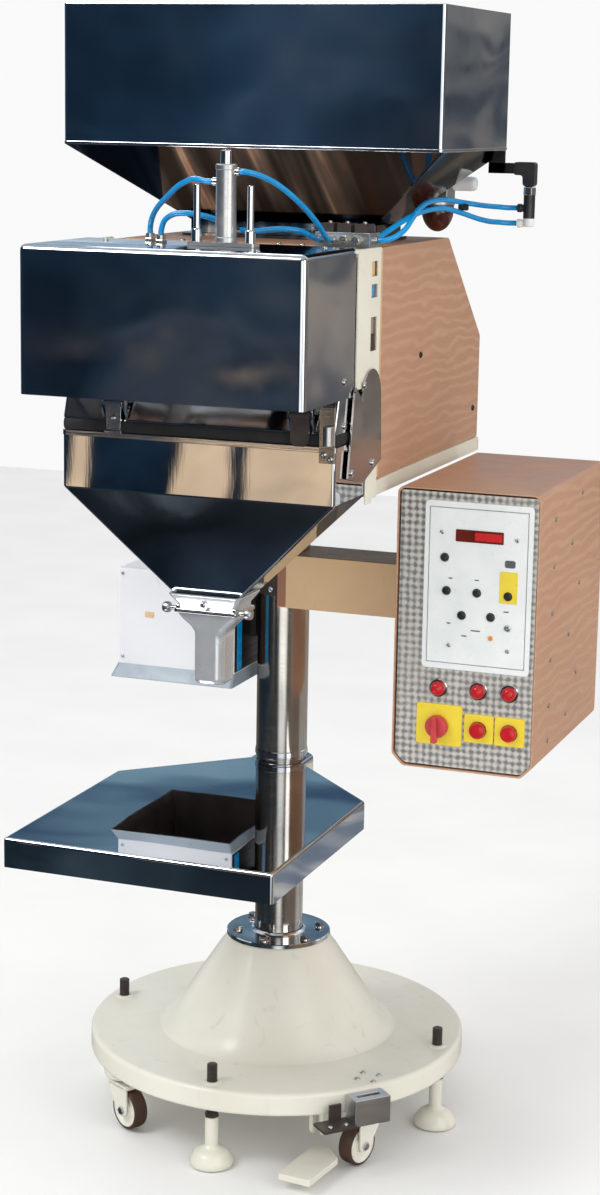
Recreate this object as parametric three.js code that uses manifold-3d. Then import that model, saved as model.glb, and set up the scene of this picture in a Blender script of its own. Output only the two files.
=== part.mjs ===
// Semi-automatic net-weight filling machine on a round wheeled pedestal.
// Millimetres, +Z up, the front faces -Y. Every size below is measured from the
// column's axis (x = y = 0) and the floor (z = 0).
import * as THREE from "three";
import { mergeVertices } from "three/addons/utils/BufferGeometryUtils.js";
import Module from "manifold-3d";

const wasm = await Module();
wasm.setup();

// ---- driving dimensions -----------------------------------------------------
const GAP = 0.3;
const SHEET = 3;
const ROUND = 36;
const SMALL_ROUND = 16;

const base = { radius: 300, bottom: 98, top: 134, plate: 10, rim: 10, boss: 16, bossBottom: 104 };
const cone = { top: 82, topZ: 283, shoulder: 158, shoulderZ: 166, foot: 192, wall: 9 };
const column = { radius: 38, bore: 35, flange: 83, flangeTop: 291, top: 930 };
const sleeve = { radius: 40.2, bore: 38.4, bottom: 580, top: 1053.7 };

const jack = { circle: 272, stud: 8, hole: 8.4, top: 164, sleeve: 10.5, sleeveTop: 78, foot: 34 };
const caster = { circle: 268, pad: 28, padBottom: 96, wheel: 32, width: 24, trail: 24, floorGap: 2 };
const CASTER_AXES = [-37.5, 45, 135, 225];
const CASTER_TRAILS = [-109, 70, 120, -30];
const pedal = { x: 166, y: -212, turn: -8, half: 27, front: -107, bottom: 16, thick: 10, pivotZ: 62 };
const valve = { angle: -43, inner: 301, outer: 333, half: 30, bottom: 88, top: 130 };

const tray = { half: 203, front: -556, shoulder: -179, hub: 44, hubFront: -20, back: 46, top: 576.6, height: 43 };

const frame = { half: 207, front: -200, back: 345, bottom: 1036, top: 1058, plate: 4, topZ: 1391 };
const cheek = { inner: 208.2, outer: 211, front: -282.5, back: -186, stepZ: 1200, lowFront: -215 };
const CHEEK_SLOTS = [[1354, 1375], [1324, 1343], [1249, 1297]];
const sidePlate = { inner: 211.3, outer: 214.3, front: -318, back: -176, bottom: 1066, top: 1225 };
const cabinet = { half: 203, front: -157, back: 348, bottom: 1058.3, top: 1391, chamferY: 160, chamferZ: 1225 };
const pan = { half: 150, front: -262, back: 200, bottom: 1296, height: 40 };
const drive = { half: 80, front: -70, back: 110, top: 1190 };

const cover = { half: 209.8, front: -486, back: -283, bottom: 1192, top: 1397 };
const rim = { half: 207.9, front: -354.5, back: -220.7 };
const skirt = { bottom: 1145.3, top: 1191.7, lean: 14 };
const gasket = { bottom: 1128.3, top: 1145, width: 9 };
const funnel = { top: 1128, band: 1045, bottom: 897, half: 55, front: -313.6, back: -231.5 };
const spout = { bottom: 762, flangeZ: 868, centreY: -281, halfTop: 46, deepTop: 32, half: 24, deep: 27 };
const latch = { left: -124, right: 158, half: 15, pivotZ: 1172, drop: 44 };

const bucket = { half: 150, front: -334, back: -236, bottom: 1202, top: 1290, wall: 2 };
const cell = { half: 18, front: -334, back: -190, bottom: 1346 };
const cylinder = { x: 48, y: -370, radius: 15, bore: 6.4, rod: 6, top: 1508, capTop: 1527, capRadius: 8.5 };
const guides = { xs: [5, 84], radius: 4.8, collar: 7.5, collarTop: 1420, top: 1480 };

const hopper = { half: 293.2, front: -175.4, back: 155.2, top: 1728, box: 1526.6, neck: 1415, sheet: 3 };
const neck = { half: 149.6, front: -33.5, back: 74.5, bottom: 1391.3, spoutBottom: 1350, lip: 10 };

const manifold = { left: 120, right: 202, front: -214, back: -170, top: 1425 };
const filter = { x: 186, y: 152, bowl: 25, bowlBottom: 1400, bowlTop: 1442, body: 22, bodyTop: 1486 };
const inlet = { x: 332, y: 150, radius: 9, bottom: 1412, armLeft: 308, armZ: 1499, top: 1509 };
const TUBE = 4;
const UNION = 6.5;
const COVER_UNIONS = [[-98, -296], [-66, -330]];
const SIDE_PORTS = [[58, 67.7, 1498], [28.3, 38, 1484]];
const BACK_PORTS = [[54, 1418], [42, 1408]];
const MANIFOLD_PORTS = [[131, 1403], [147, 1403]];
const MANIFOLD_BACK_PORT = [190, 1403];
const MANIFOLD_SIDE_PORT = [-192, 1403];
const LONG_UNION = 9.7;
const SHORT_UNION = 4.7;
const INLET_PORTS = [1440, 1417];

const arm = { left: 8, right: 230.6, front: -50, back: 45, bottom: 829, top: 911 };
const clamp = { radius: 50, bottom: 845, top: 893 };
const box = { left: 231, right: 448.5, front: -146, back: 236, bottom: 628, top: 1048, wall: 2.5 };
const panel = { inset: 5, back: -140, face: -144 };
const keypad = { left: 274, right: 437, bottom: 782, top: 1031, face: -146.2 };
const junction = { left: -249, right: -51, front: -78, back: 150, bottom: 722, top: 875, lip: 20 };

const KEYS = [[305, 948], [309, 899], [355, 899], [402, 898], [333, 864], [377, 865]];
const knob = { x: 302, z: 695, radius: 17, front: -168 };
const PUSH_BUTTONS = [[364, 695], [411, 695]];

// The group's origin is the middle of the object's footprint on the floor.
const ORIGIN_X = (box.right - jack.circle - jack.foot) / 2;
const ORIGIN_Y = (cabinet.back + tray.front) / 2;

// ---- solids -----------------------------------------------------------------
function signedVolume(positions, triangles) {
  const [a, b, c] = [new THREE.Vector3(), new THREE.Vector3(), new THREE.Vector3()];
  let total = 0;
  for (let i = 0; i < triangles.length; i += 3) {
    a.fromArray(positions, 3 * triangles[i]);
    b.fromArray(positions, 3 * triangles[i + 1]);
    c.fromArray(positions, 3 * triangles[i + 2]);
    total += a.dot(b.cross(c));
  }
  return total;
}

function toSolid(geometry) {
  const bare = new THREE.BufferGeometry();
  bare.setAttribute("position", geometry.getAttribute("position"));
  bare.setIndex(geometry.index);
  const welded = mergeVertices(bare, 1e-4);
  const positions = new Float32Array(welded.getAttribute("position").array);
  const triangles = new Uint32Array(welded.index.array);
  if (signedVolume(positions, triangles) < 0) {
    triangles.reverse();
  }
  return new wasm.Manifold(
    new wasm.Mesh({ numProp: 3, vertProperties: positions, triVerts: triangles }),
  );
}

function toGeometry(solid) {
  const mesh = solid.getMesh();
  const geometry = new THREE.BufferGeometry();
  geometry.setAttribute("position", new THREE.Float32BufferAttribute(mesh.vertProperties, 3));
  geometry.setIndex(Array.from(mesh.triVerts));
  geometry.computeVertexNormals();
  return geometry;
}

function joined(...solids) {
  return solids.reduce((whole, solid) => whole.add(solid));
}

function block([x0, x1], [y0, y1], [z0, z1]) {
  const geometry = new THREE.BoxGeometry(x1 - x0, y1 - y0, z1 - z0);
  geometry.translate((x0 + x1) / 2, (y0 + y1) / 2, (z0 + z1) / 2);
  return toSolid(geometry);
}

// A rod along "x", "y" or "z" from one end to the other, through point (p, q) of
// the other two axes in x, y, z order.
function rod(axis, radius, [from, to], [p, q], segments = SMALL_ROUND) {
  const geometry = new THREE.CylinderGeometry(radius, radius, to - from, segments);
  const middle = (from + to) / 2;
  if (axis === "x") {
    geometry.rotateZ(Math.PI / 2).translate(middle, p, q);
  } else if (axis === "y") {
    geometry.translate(p, middle, q);
  } else {
    geometry.rotateX(Math.PI / 2).translate(p, q, middle);
  }
  return toSolid(geometry);
}

// A profile of [radius, height] points turned about the Z axis.
function turned(profile, segments = ROUND) {
  const points = profile.map(([r, z]) => new THREE.Vector2(r, z));
  return toSolid(new THREE.LatheGeometry(points, segments).rotateX(Math.PI / 2));
}

function extruded(points, depth) {
  const shape = new THREE.Shape(points.map(([a, b]) => new THREE.Vector2(a, b)));
  return new THREE.ExtrudeGeometry(shape, { depth, bevelEnabled: false });
}

// A flat shape of [x, y] points, standing from z0 to z1.
function slab(points, [z0, z1]) {
  return toSolid(extruded(points, z1 - z0).translate(0, 0, z0));
}

// A flat shape of [y, z] points, running from x0 to x1.
function sidewall(points, [x0, x1]) {
  const turn = new THREE.Matrix4().makeBasis(
    new THREE.Vector3(0, 1, 0),
    new THREE.Vector3(0, 0, 1),
    new THREE.Vector3(1, 0, 0),
  );
  return toSolid(extruded(points, x1 - x0).applyMatrix4(turn).translate(x0, 0, 0));
}

// A four-sided solid between two level rectangles {half or left/right, front, back} at z0 and z1.
function frustum(low, z0, high, z1) {
  const corners = [];
  for (const [r, z] of [[low, z0], [high, z1]]) {
    corners.push(r.left, r.front, z, r.right, r.front, z, r.right, r.back, z, r.left, r.back, z);
  }
  const geometry = new THREE.BufferGeometry();
  geometry.setAttribute("position", new THREE.Float32BufferAttribute(corners, 3));
  geometry.setIndex([
    0, 2, 1, 0, 3, 2, 4, 5, 6, 4, 6, 7, 0, 1, 5, 0, 5, 4,
    1, 2, 6, 1, 6, 5, 2, 3, 7, 2, 7, 6, 3, 0, 4, 3, 4, 7,
  ]);
  return toSolid(geometry);
}

function rect(half, front, back, inset = 0) {
  return { left: inset - half, right: half - inset, front: front + inset, back: back - inset };
}

const blockOf = (r, z) => block([r.left, r.right], [r.front, r.back], z);

// ---- materials --------------------------------------------------------------
function finish(color, roughness, metalness) {
  return () => new THREE.MeshStandardMaterial({ color, roughness, metalness });
}

const creamPaint = finish(0xe4e0d0, 0.45, 0);
const tanPaint = finish(0xc08e72, 0.5, 0.1);
const paleTanPaint = finish(0xdcb88c, 0.5, 0);
const mirrorSteel = finish(0x8d99a8, 0.08, 1);
const polishedSteel = finish(0x9a9488, 0.18, 1);
const chrome = finish(0xc8ccd2, 0.12, 1);
const darkSteel = finish(0x3a3734, 0.45, 0.8);
const aluminium = finish(0xb4b8ba, 0.4, 0.9);
const blackPlastic = finish(0x1c1c1e, 0.4, 0);
const blackRubber = finish(0x141416, 0.7, 0);
const panelGrey = finish(0x8f959b, 0.5, 0.3);
const whitePlastic = finish(0xeceff0, 0.4, 0);
const redPlastic = finish(0xc4161c, 0.3, 0);
const smokedBowl = finish(0x4a1c14, 0.15, 0);
const bluePlastic = finish(0x0a8fd0, 0.3, 0);

const machine = new THREE.Group();
machine.position.set(-ORIGIN_X, -ORIGIN_Y, 0);

function part(name, solid, material) {
  const mesh = new THREE.Mesh(toGeometry(solid), material());
  mesh.name = name;
  machine.add(mesh);
  return mesh;
}

// ---- pedestal ---------------------------------------------------------------
function polar(radius, degrees) {
  const angle = THREE.MathUtils.degToRad(degrees);
  return [radius * Math.cos(angle), radius * Math.sin(angle)];
}

const jackPlaces = [180, 270, 0, 90].map((angle) => polar(jack.circle, angle));
const casterPlaces = CASTER_AXES.map((angle) => polar(caster.circle, angle));

// The cone's foot sweeps out into the disc on a curve.
function coneFoot(offset) {
  const curve = new THREE.QuadraticBezierCurve(
    new THREE.Vector2(cone.shoulder - offset, cone.shoulderZ),
    new THREE.Vector2(cone.shoulder + 18 - offset, base.top + 2 - offset),
    new THREE.Vector2(cone.foot, base.top - offset),
  );
  return curve.getPoints(5).map((point) => [point.x, point.y]);
}

function baseShell() {
  const under = base.top - base.plate;
  return turned([
    [column.radius + 1, cone.topZ],
    [cone.top, cone.topZ],
    ...coneFoot(0),
    [base.radius - 4, base.top],
    [base.radius, base.top - 4],
    [base.radius, base.bottom],
    [base.radius - base.rim, base.bottom],
    [base.radius - base.rim, under],
    ...coneFoot(cone.wall).reverse(),
    [cone.top - cone.wall, cone.topZ - cone.wall],
    [column.radius + 1, cone.topZ - cone.wall],
    [column.radius + 1, cone.topZ],
  ]);
}

// The pedal's own axes: x across the bar, y along it, turned about the vertical.
function placePedal(solid) {
  return solid.rotate([0, 0, pedal.turn]).translate([pedal.x, pedal.y, 0]);
}

function pedalEars() {
  const under = base.top - base.plate + 1;
  const ears = [[-27, -21], [-9, -3]].map((x) => block(x, [-9, 9], [pedal.pivotZ - 10, under]));
  const pin = rod("x", 4, [-27, -3], [0, pedal.pivotZ]);
  return placePedal(joined(...ears, pin));
}

function baseCasting() {
  let solid = baseShell();
  const under = base.top - base.plate + 1;
  for (const place of jackPlaces) {
    solid = solid.add(rod("z", base.boss, [base.bossBottom, under], place));
    solid = solid.subtract(rod("z", jack.hole, [base.bottom, base.top + 1], place));
  }
  for (const place of casterPlaces) {
    solid = solid.add(rod("z", caster.pad, [caster.padBottom, under], place));
  }
  return solid.add(pedalEars());
}

part("base_casting", baseCasting(), creamPaint);

part("lower_column", turned([
  [column.bore, cone.topZ + GAP],
  [column.flange, cone.topZ + GAP],
  [column.flange, column.flangeTop],
  [column.radius, column.flangeTop],
  [column.radius, column.top],
  [column.bore, column.top],
  [column.bore, cone.topZ + GAP],
]), polishedSteel);

jackPlaces.forEach(([x, y], i) => {
  const shape = turned([
    [0, 0], [29, 0], [jack.foot, 5], [jack.foot, 10], [27, 21], [11, 28], [jack.sleeve, 30],
    [jack.sleeve, jack.sleeveTop], [jack.stud, jack.sleeveTop], [jack.stud, jack.top], [0, jack.top],
  ], SMALL_ROUND);
  part(`jack_${i + 1}`, shape.translate([x, y, 0]), creamPaint);
});

const wheelZ = caster.floorGap + caster.wheel;

function casterFork() {
  const top = caster.padBottom - GAP;
  const crown = wheelZ + caster.wheel + 3;
  const race = rod("z", 25, [crown + 6, top], [0, 0], SMALL_ROUND);
  const inner = caster.width / 2 + 1.5;
  const bridge = block([-18, caster.trail + 12], [-inner - 3, inner + 3], [crown, crown + 7]);
  const leg = [[-18, crown + 1], [caster.trail + 12, crown + 1], [caster.trail + 10, wheelZ - 6],
    [caster.trail, wheelZ - 11], [caster.trail - 10, wheelZ - 6]];
  const axes = new THREE.Matrix4().makeBasis(
    new THREE.Vector3(1, 0, 0), new THREE.Vector3(0, 0, 1), new THREE.Vector3(0, -1, 0),
  );
  const legs = [inner + 3, -inner].map((y) => (
    toSolid(extruded(leg, 3).applyMatrix4(axes).translate(0, y, 0))
  ));
  const axle = rod("y", 5, [-inner - 4, inner + 4], [caster.trail, wheelZ]);
  return joined(race, bridge, ...legs, axle);
}

function casterWheel() {
  const half = caster.width / 2;
  const tyre = turned([
    [5.3, -half], [caster.wheel - 4, -half], [caster.wheel, 4 - half],
    [caster.wheel, half - 4], [caster.wheel - 4, half], [5.3, half], [5.3, -half],
  ], 32);
  return tyre.rotate([90, 0, 0]).translate([caster.trail, 0, wheelZ]);
}

casterPlaces.forEach(([x, y], i) => {
  const place = (solid) => solid.rotate([0, 0, CASTER_TRAILS[i]]).translate([x, y, 0]);
  part(`caster_fork_${i + 1}`, place(casterFork()), creamPaint);
  part(`caster_wheel_${i + 1}`, place(casterWheel()), creamPaint);
});

function pedalLever() {
  const bar = slab([
    [-pedal.half, pedal.front], [pedal.half, pedal.front], [pedal.half, -14], [-4, 12], [-pedal.half, 12],
  ], [pedal.bottom, pedal.bottom + pedal.thick]);
  const riser = block([-20, -10], [-8, 8], [pedal.bottom + pedal.thick - 1, pedal.pivotZ]);
  const hub = rod("x", 9, [-20, -10], [0, pedal.pivotZ]);
  const bore = rod("x", 4.3, [-21, -9], [0, pedal.pivotZ]);
  return placePedal(joined(bar, riser, hub).subtract(bore));
}

part("foot_pedal", pedalLever(), creamPaint);

function footValve() {
  const body = block([valve.inner, valve.outer], [-valve.half, valve.half], [valve.bottom, valve.top]);
  const slot = block([valve.inner + 12, valve.inner + 20], [-18, 18], [valve.top - 6, valve.top + 1]);
  const plate = block([valve.inner + 2, valve.outer + 8], [-86, 1 - valve.half], [valve.bottom + 2, valve.bottom + 6]);
  return body.subtract(slot).add(plate).rotate([0, 0, valve.angle]);
}

part("foot_valve", footValve(), aluminium);

// ---- bag tray ---------------------------------------------------------------
function trayOutline(inset) {
  const { half, front, shoulder, hub, hubFront, back } = tray;
  const right = [
    [half - inset, front + inset], [half - inset, shoulder - inset * 0.4],
    [hub - inset, hubFront - inset * 0.4], [hub - inset, back - 16], [hub - 16, back - inset],
  ];
  const left = right.map(([x, y]) => [-x, y]).reverse();
  return [...right, ...left];
}

function trayPan() {
  const under = tray.top - tray.height;
  const outer = slab(trayOutline(0), [under, tray.top]);
  const inner = slab(trayOutline(2.5), [under - 1, tray.top - 2.5]);
  return outer.subtract(inner).subtract(rod("z", 39, [under - 1, tray.top + 1], [0, 0], ROUND));
}

// The collar below the tray that grips the column.
function trayCollar() {
  const top = tray.top - tray.height + 1;
  const ring = rod("z", 58, [top - 36, top], [0, 0], ROUND);
  const lug = block([-12, 12], [40, 78], [top - 36, top]);
  const bore = rod("z", 38.4, [top - 37, top + 1], [0, 0], ROUND);
  const split = block([-1.5, 1.5], [30, 80], [top - 37, top + 1]);
  return joined(ring, lug).subtract(bore).subtract(split);
}

part("bag_tray", trayPan().add(trayCollar()), mirrorSteel);

// ---- head frame -------------------------------------------------------------
part("upper_sleeve", turned([
  [sleeve.bore, sleeve.bottom], [sleeve.radius, sleeve.bottom], [sleeve.radius, sleeve.top],
  [sleeve.bore, sleeve.top], [sleeve.bore, sleeve.bottom],
]), polishedSteel);

function headFrame() {
  const { half, front, back, bottom, top, plate, topZ } = frame;
  const channel = block([-half, half], [front, back], [bottom, top]);
  const hollow = block([4 - half, half - 4], [front + 4, back - 4], [bottom - 1, top - plate]);
  const socket = rod("z", 62, [bottom - 26, top - 1], [0, 0], ROUND);
  const seat = rod("z", sleeve.radius + GAP, [bottom - 27, sleeve.top + GAP], [0, 0], ROUND);
  let solid = channel.subtract(hollow).add(socket).subtract(seat);
  for (const side of [-1, 1]) {
    const outline = [
      [cheek.lowFront, bottom], [cheek.back, bottom], [cheek.back, topZ], [cheek.front, topZ],
      [cheek.front, cheek.stepZ], [cheek.lowFront, cheek.stepZ],
    ];
    const span = [cheek.inner, cheek.outer].map((x) => side * x).sort((a, b) => a - b);
    let wall = sidewall(outline, span);
    for (const heights of CHEEK_SLOTS) {
      wall = wall.subtract(block([span[0] - 1, span[1] + 1], [-226, -198], heights));
    }
    const foot = [half - 1, cheek.outer - 1].map((x) => side * x).sort((a, b) => a - b);
    solid = solid.add(wall).add(block(foot, [front, cheek.back], [bottom, top]));
  }
  const bar = block([1 - cheek.outer, cheek.outer - 1], [-218, cheek.back], [topZ - 12, topZ]);
  const loadCell = block([-cell.half, cell.half], [cell.front, cell.back], [cell.bottom, topZ - 11]);
  return joined(solid, bar, loadCell);
}

part("head_frame", headFrame(), creamPaint);

function bulletPlate(side) {
  const { inner, outer, front, back, bottom, top } = sidePlate;
  const crown = new THREE.EllipseCurve(-223, top - 42, 40, 42, 0, Math.PI, false).getPoints(10);
  const outline = [
    [front, bottom + 14], [front + 64, bottom], [back, bottom + 24],
    ...crown.map((p) => [p.x, p.y]), [-290, top - 20], [-296, top - 28],
  ];
  const span = [inner, outer].map((x) => side * x).sort((a, b) => a - b);
  return sidewall(outline, span);
}

part("side_plate_left", bulletPlate(-1), mirrorSteel);
part("side_plate_right", bulletPlate(1), mirrorSteel);

// ---- feeder cabinet ---------------------------------------------------------
function cabinetOutline(inset) {
  const { front, back, bottom, top, chamferY, chamferZ } = cabinet;
  return [
    [front + inset, bottom - inset], [back - inset, bottom - inset], [back - inset, chamferZ - inset * 0.5],
    [chamferY - inset * 0.5, top - inset], [front + inset, top - inset],
  ];
}

function cabinetShell() {
  const outer = sidewall(cabinetOutline(0), [-cabinet.half, cabinet.half]);
  const inner = sidewall(cabinetOutline(SHEET), [SHEET - cabinet.half, cabinet.half - SHEET]);
  const mouth = block([-165, 165], [cabinet.front - 1, cabinet.front + 10], [1270, 1352]);
  const feed = blockOf(rect(neck.half, neck.front, neck.back, -6), [cabinet.top - 10, cabinet.top + 1]);
  return outer.subtract(inner).subtract(mouth).subtract(feed);
}

part("feeder_cabinet", cabinetShell(), tanPaint);

const shelfZ = frame.top + GAP;

function driveUnit() {
  const body = block([-drive.half, drive.half], [drive.front, drive.back], [shelfZ, drive.top]);
  const magnet = rod("y", 30, [drive.back - 1, drive.back + 40], [0, 1130], SMALL_ROUND);
  const springs = [-60, 92].map((y) => block([-60, 60], [y - 3, y + 3], [drive.top - 1, pan.bottom - 24]));
  return joined(body, magnet, ...springs);
}

function feedPan() {
  const { half, front, back, bottom, height } = pan;
  const trough = block([-half, half], [front, back], [bottom, bottom + height]);
  const hollow = block([3 - half, half - 3], [front - 1, back - 3], [bottom + 3, bottom + height + 1]);
  const rib = block([-50, 50], [-75, 105], [bottom - 20, bottom + 1]);
  return trough.subtract(hollow).add(rib);
}

part("feeder_drive", driveUnit(), darkSteel);
part("feeder_pan", feedPan(), mirrorSteel);

// ---- weighing chamber -------------------------------------------------------
function weighCover() {
  const { half, front, back, bottom, top } = cover;
  const outer = block([-half, half], [front, back], [bottom, top]);
  const inner = block([2 - half, half - 2], [front + 2, back + 1], [bottom - 1, top - 2]);
  const rodHole = rod("z", 9, [top - 5, top + 1], [cylinder.x, cylinder.y]);
  const unions = COVER_UNIONS.map((place) => rod("z", UNION, [top - 1, top + 10], place));
  return joined(outer.subtract(inner).subtract(rodHole), ...unions);
}

part("weigh_cover", weighCover(), mirrorSteel);

function ring(low, z0, high, z1, wall) {
  const shrink = (r) => ({ left: r.left + wall, right: r.right - wall, front: r.front + wall, back: r.back - wall });
  const outer = frustum(low, z0, high, z1);
  const inner = frustum(shrink(low), z0 - 1, shrink(high), z1 + 1);
  return outer.subtract(inner);
}

const mouthRect = rect(rim.half, rim.front, rim.back);

function chamberSkirt() {
  const high = { ...mouthRect, front: mouthRect.front + skirt.lean };
  return ring(mouthRect, skirt.bottom, high, skirt.top, SHEET);
}

part("chamber_skirt", chamberSkirt(), mirrorSteel);
part("mouth_gasket", ring(mouthRect, gasket.bottom, mouthRect, gasket.top, gasket.width), blackRubber);

const outletRect = { left: -funnel.half, right: funnel.half, front: funnel.front, back: funnel.back };

function dischargeHopper() {
  const wall = SHEET;
  const shrink = (r) => ({ left: r.left + wall, right: r.right - wall, front: r.front + wall, back: r.back - wall });
  const band = blockOf(mouthRect, [funnel.band, funnel.top]);
  const pyramid = frustum(outletRect, funnel.bottom, mouthRect, funnel.band);
  const bandHollow = blockOf(shrink(mouthRect), [funnel.band - 0.01, funnel.top + 1]);
  const pyramidHollow = frustum(shrink(outletRect), funnel.bottom, shrink(mouthRect), funnel.band);
  const outletHollow = blockOf(shrink(outletRect), [funnel.bottom - 1, funnel.bottom + 1]);
  return band.add(pyramid).subtract(joined(bandHollow, pyramidHollow, outletHollow));
}

part("discharge_hopper", dischargeHopper(), mirrorSteel);

function dischargeSpout() {
  const top = funnel.bottom - GAP;
  const middle = spout.centreY;
  const at = (half, deep) => ({ left: -half, right: half, front: middle - deep, back: middle + deep });
  const stations = [
    [at(56, 43), top], [at(spout.halfTop, spout.deepTop), spout.flangeZ + 12],
    [at(spout.halfTop, spout.deepTop), spout.flangeZ], [at(spout.half, spout.deep), spout.flangeZ - 28],
    [at(spout.half, spout.deep), spout.bottom],
  ];
  const slim = ([r, z]) => [{ left: r.left + 3, right: r.right - 3, front: r.front + 3, back: r.back - 3 }, z];
  const stack = (list) => list.slice(1).map((low, i) => frustum(low[0], low[1], list[i][0], list[i][1]));
  const inner = stations.map(slim);
  inner[0][1] += 1;
  inner[inner.length - 1][1] -= 1;
  const flange = blockOf(at(spout.halfTop + 4, spout.deepTop + 4), [spout.flangeZ, spout.flangeZ + 5]);
  return joined(...stack(stations), flange).subtract(joined(...stack(inner)));
}

part("discharge_spout", dischargeSpout(), polishedSteel);

function toggleLatch(x) {
  const front = mouthRect.front - 2.5;
  const arm = block([x - latch.half, x + latch.half], [front - 9, front], [latch.pivotZ - latch.drop, latch.pivotZ]);
  const barrel = rod("x", 6, [x - latch.half, x + latch.half], [front - 4, latch.pivotZ]);
  return arm.add(barrel);
}

part("latch_left", toggleLatch(latch.left), chrome);
part("latch_right", toggleLatch(latch.right), blackPlastic);

function weighBucket() {
  const { half, front, back, bottom, top, wall } = bucket;
  const outer = block([-half, half], [front, back], [bottom, top]);
  const inner = block([wall - half, half - wall], [front + wall, back - wall], [bottom - 1, top + 1]);
  const hanger = block([-14, 14], [front, front + 8], [top - 30, cell.bottom - GAP]);
  return outer.subtract(inner).add(hanger);
}

part("weigh_bucket", weighBucket(), mirrorSteel);

function bucketDoor() {
  const flap = block([2 - bucket.half, bucket.half - 2], [bucket.front, bucket.back - 1], [bucket.bottom - 3, bucket.bottom - 0.6]);
  const pin = rod("x", 3, [2 - bucket.half, bucket.half - 2], [bucket.back - 1, bucket.bottom - 3.8]);
  return flap.add(pin);
}

part("bucket_door", bucketDoor(), mirrorSteel);

function gateCylinder() {
  const { x, y, radius, bore, top, capTop, capRadius } = cylinder;
  const foot = cover.top + GAP;
  let solid = block([guides.xs[0] - 10, guides.xs[1] + 10], [y - 12, y + 12], [foot, foot + 5]);
  solid = solid.add(rod("z", radius, [foot, top], [x, y])).add(rod("z", capRadius, [top - 1, capTop], [x, y]));
  for (const guideX of guides.xs) {
    solid = solid.add(rod("z", guides.radius, [foot, guides.top], [guideX, y], 16));
    solid = solid.add(rod("z", guides.collar, [foot, guides.collarTop], [guideX, y], 16));
  }
  const ports = SIDE_PORTS.map(([from, to, z]) => rod("x", UNION, [from, to], [y, z]));
  ports.push(...BACK_PORTS.map((place) => rod("y", UNION, [y + 8, y + 24.7], place)));
  return joined(solid, ...ports).subtract(rod("z", bore, [foot - 1, top - 12], [x, y]));
}

part("gate_cylinder", gateCylinder(), aluminium);

function cylinderRod() {
  const { x, y, rod: radius, top } = cylinder;
  const shaft = rod("z", radius, [1330, top - 50], [x, y]);
  const pad = rod("z", 14, [1322, 1331], [x, y]);
  return shaft.add(pad);
}

part("cylinder_rod", cylinderRod(), chrome);

// ---- product hopper ---------------------------------------------------------
function productHopper() {
  const { half, front, back, top, box: boxZ, neck: neckZ, sheet } = hopper;
  const mouth = rect(half, front, back);
  const mouthIn = rect(half, front, back, sheet);
  const outlet = rect(neck.half, neck.front, neck.back);
  const outletIn = rect(neck.half, neck.front, neck.back, sheet);
  const lip = blockOf(rect(neck.half, neck.front, neck.back, -neck.lip), [neck.bottom, neck.bottom + 4]);
  const outer = joined(
    blockOf(mouth, [boxZ, top]), frustum(outlet, neckZ, mouth, boxZ), blockOf(outlet, [neck.spoutBottom, neckZ]), lip,
  );
  const inner = joined(
    blockOf(mouthIn, [boxZ - 0.01, top + 1]), frustum(outletIn, neckZ, mouthIn, boxZ),
    blockOf(outletIn, [neck.spoutBottom - 1, neckZ + 0.01]),
  );
  return outer.subtract(inner);
}

part("product_hopper", productHopper(), mirrorSteel);

// ---- compressed air ---------------------------------------------------------
const deckZ = frame.topZ + GAP;

function valveManifold() {
  const body = block([manifold.left, manifold.right], [manifold.front, manifold.back], [deckZ, manifold.top - 12]);
  const coils = [0, 1, 2].map((i) => {
    const x = manifold.left + 4 + 26 * i;
    return block([x, x + 20], [manifold.front + 10, manifold.back - 4], [manifold.top - 13, manifold.top]);
  });
  const fronts = MANIFOLD_PORTS.map((place) => rod("y", UNION, [manifold.front - LONG_UNION, manifold.front + 1], place));
  const back = rod("y", UNION, [manifold.back - 1, manifold.back + SHORT_UNION], MANIFOLD_BACK_PORT);
  const side = rod("x", UNION, [manifold.right - 1, manifold.right + SHORT_UNION], MANIFOLD_SIDE_PORT);
  return joined(body, ...coils, ...fronts, back, side);
}

part("valve_manifold", valveManifold(), darkSteel);

function filterBody() {
  const { x, y, body, bowlTop, bodyTop } = filter;
  const head = block([x - body, x + body], [y - body, y + body], [bowlTop - 1, bodyTop]);
  const post = block([x - 76, x - body + 1], [y + 3, y + 9], [bowlTop + 10, bodyTop - 4]);
  const leg = block([x - 76, x - 62], [y + 3, y + 9], [cabinet.top + GAP, bowlTop + 12]);
  return joined(head, post, leg);
}

function filterBowl() {
  const { bowl, bowlBottom, bowlTop, x, y } = filter;
  const dome = new THREE.EllipseCurve(0, bowlTop - 8, bowl, bowlTop - 8 - bowlBottom, -Math.PI / 2, 0, false);
  const outer = dome.getPoints(8).map((p) => [p.x, p.y]);
  return turned([...outer, [bowl, bowlTop], [0, bowlTop]], SMALL_ROUND).translate([x, y, 0]);
}

part("air_filter", filterBody().add(filterBowl()), smokedBowl);
part(
  "pressure_knob",
  rod("x", 11, [filter.x + filter.body + GAP, filter.x + filter.body + 36], [filter.y, filter.bodyTop - 12]),
  whitePlastic,
);

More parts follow.
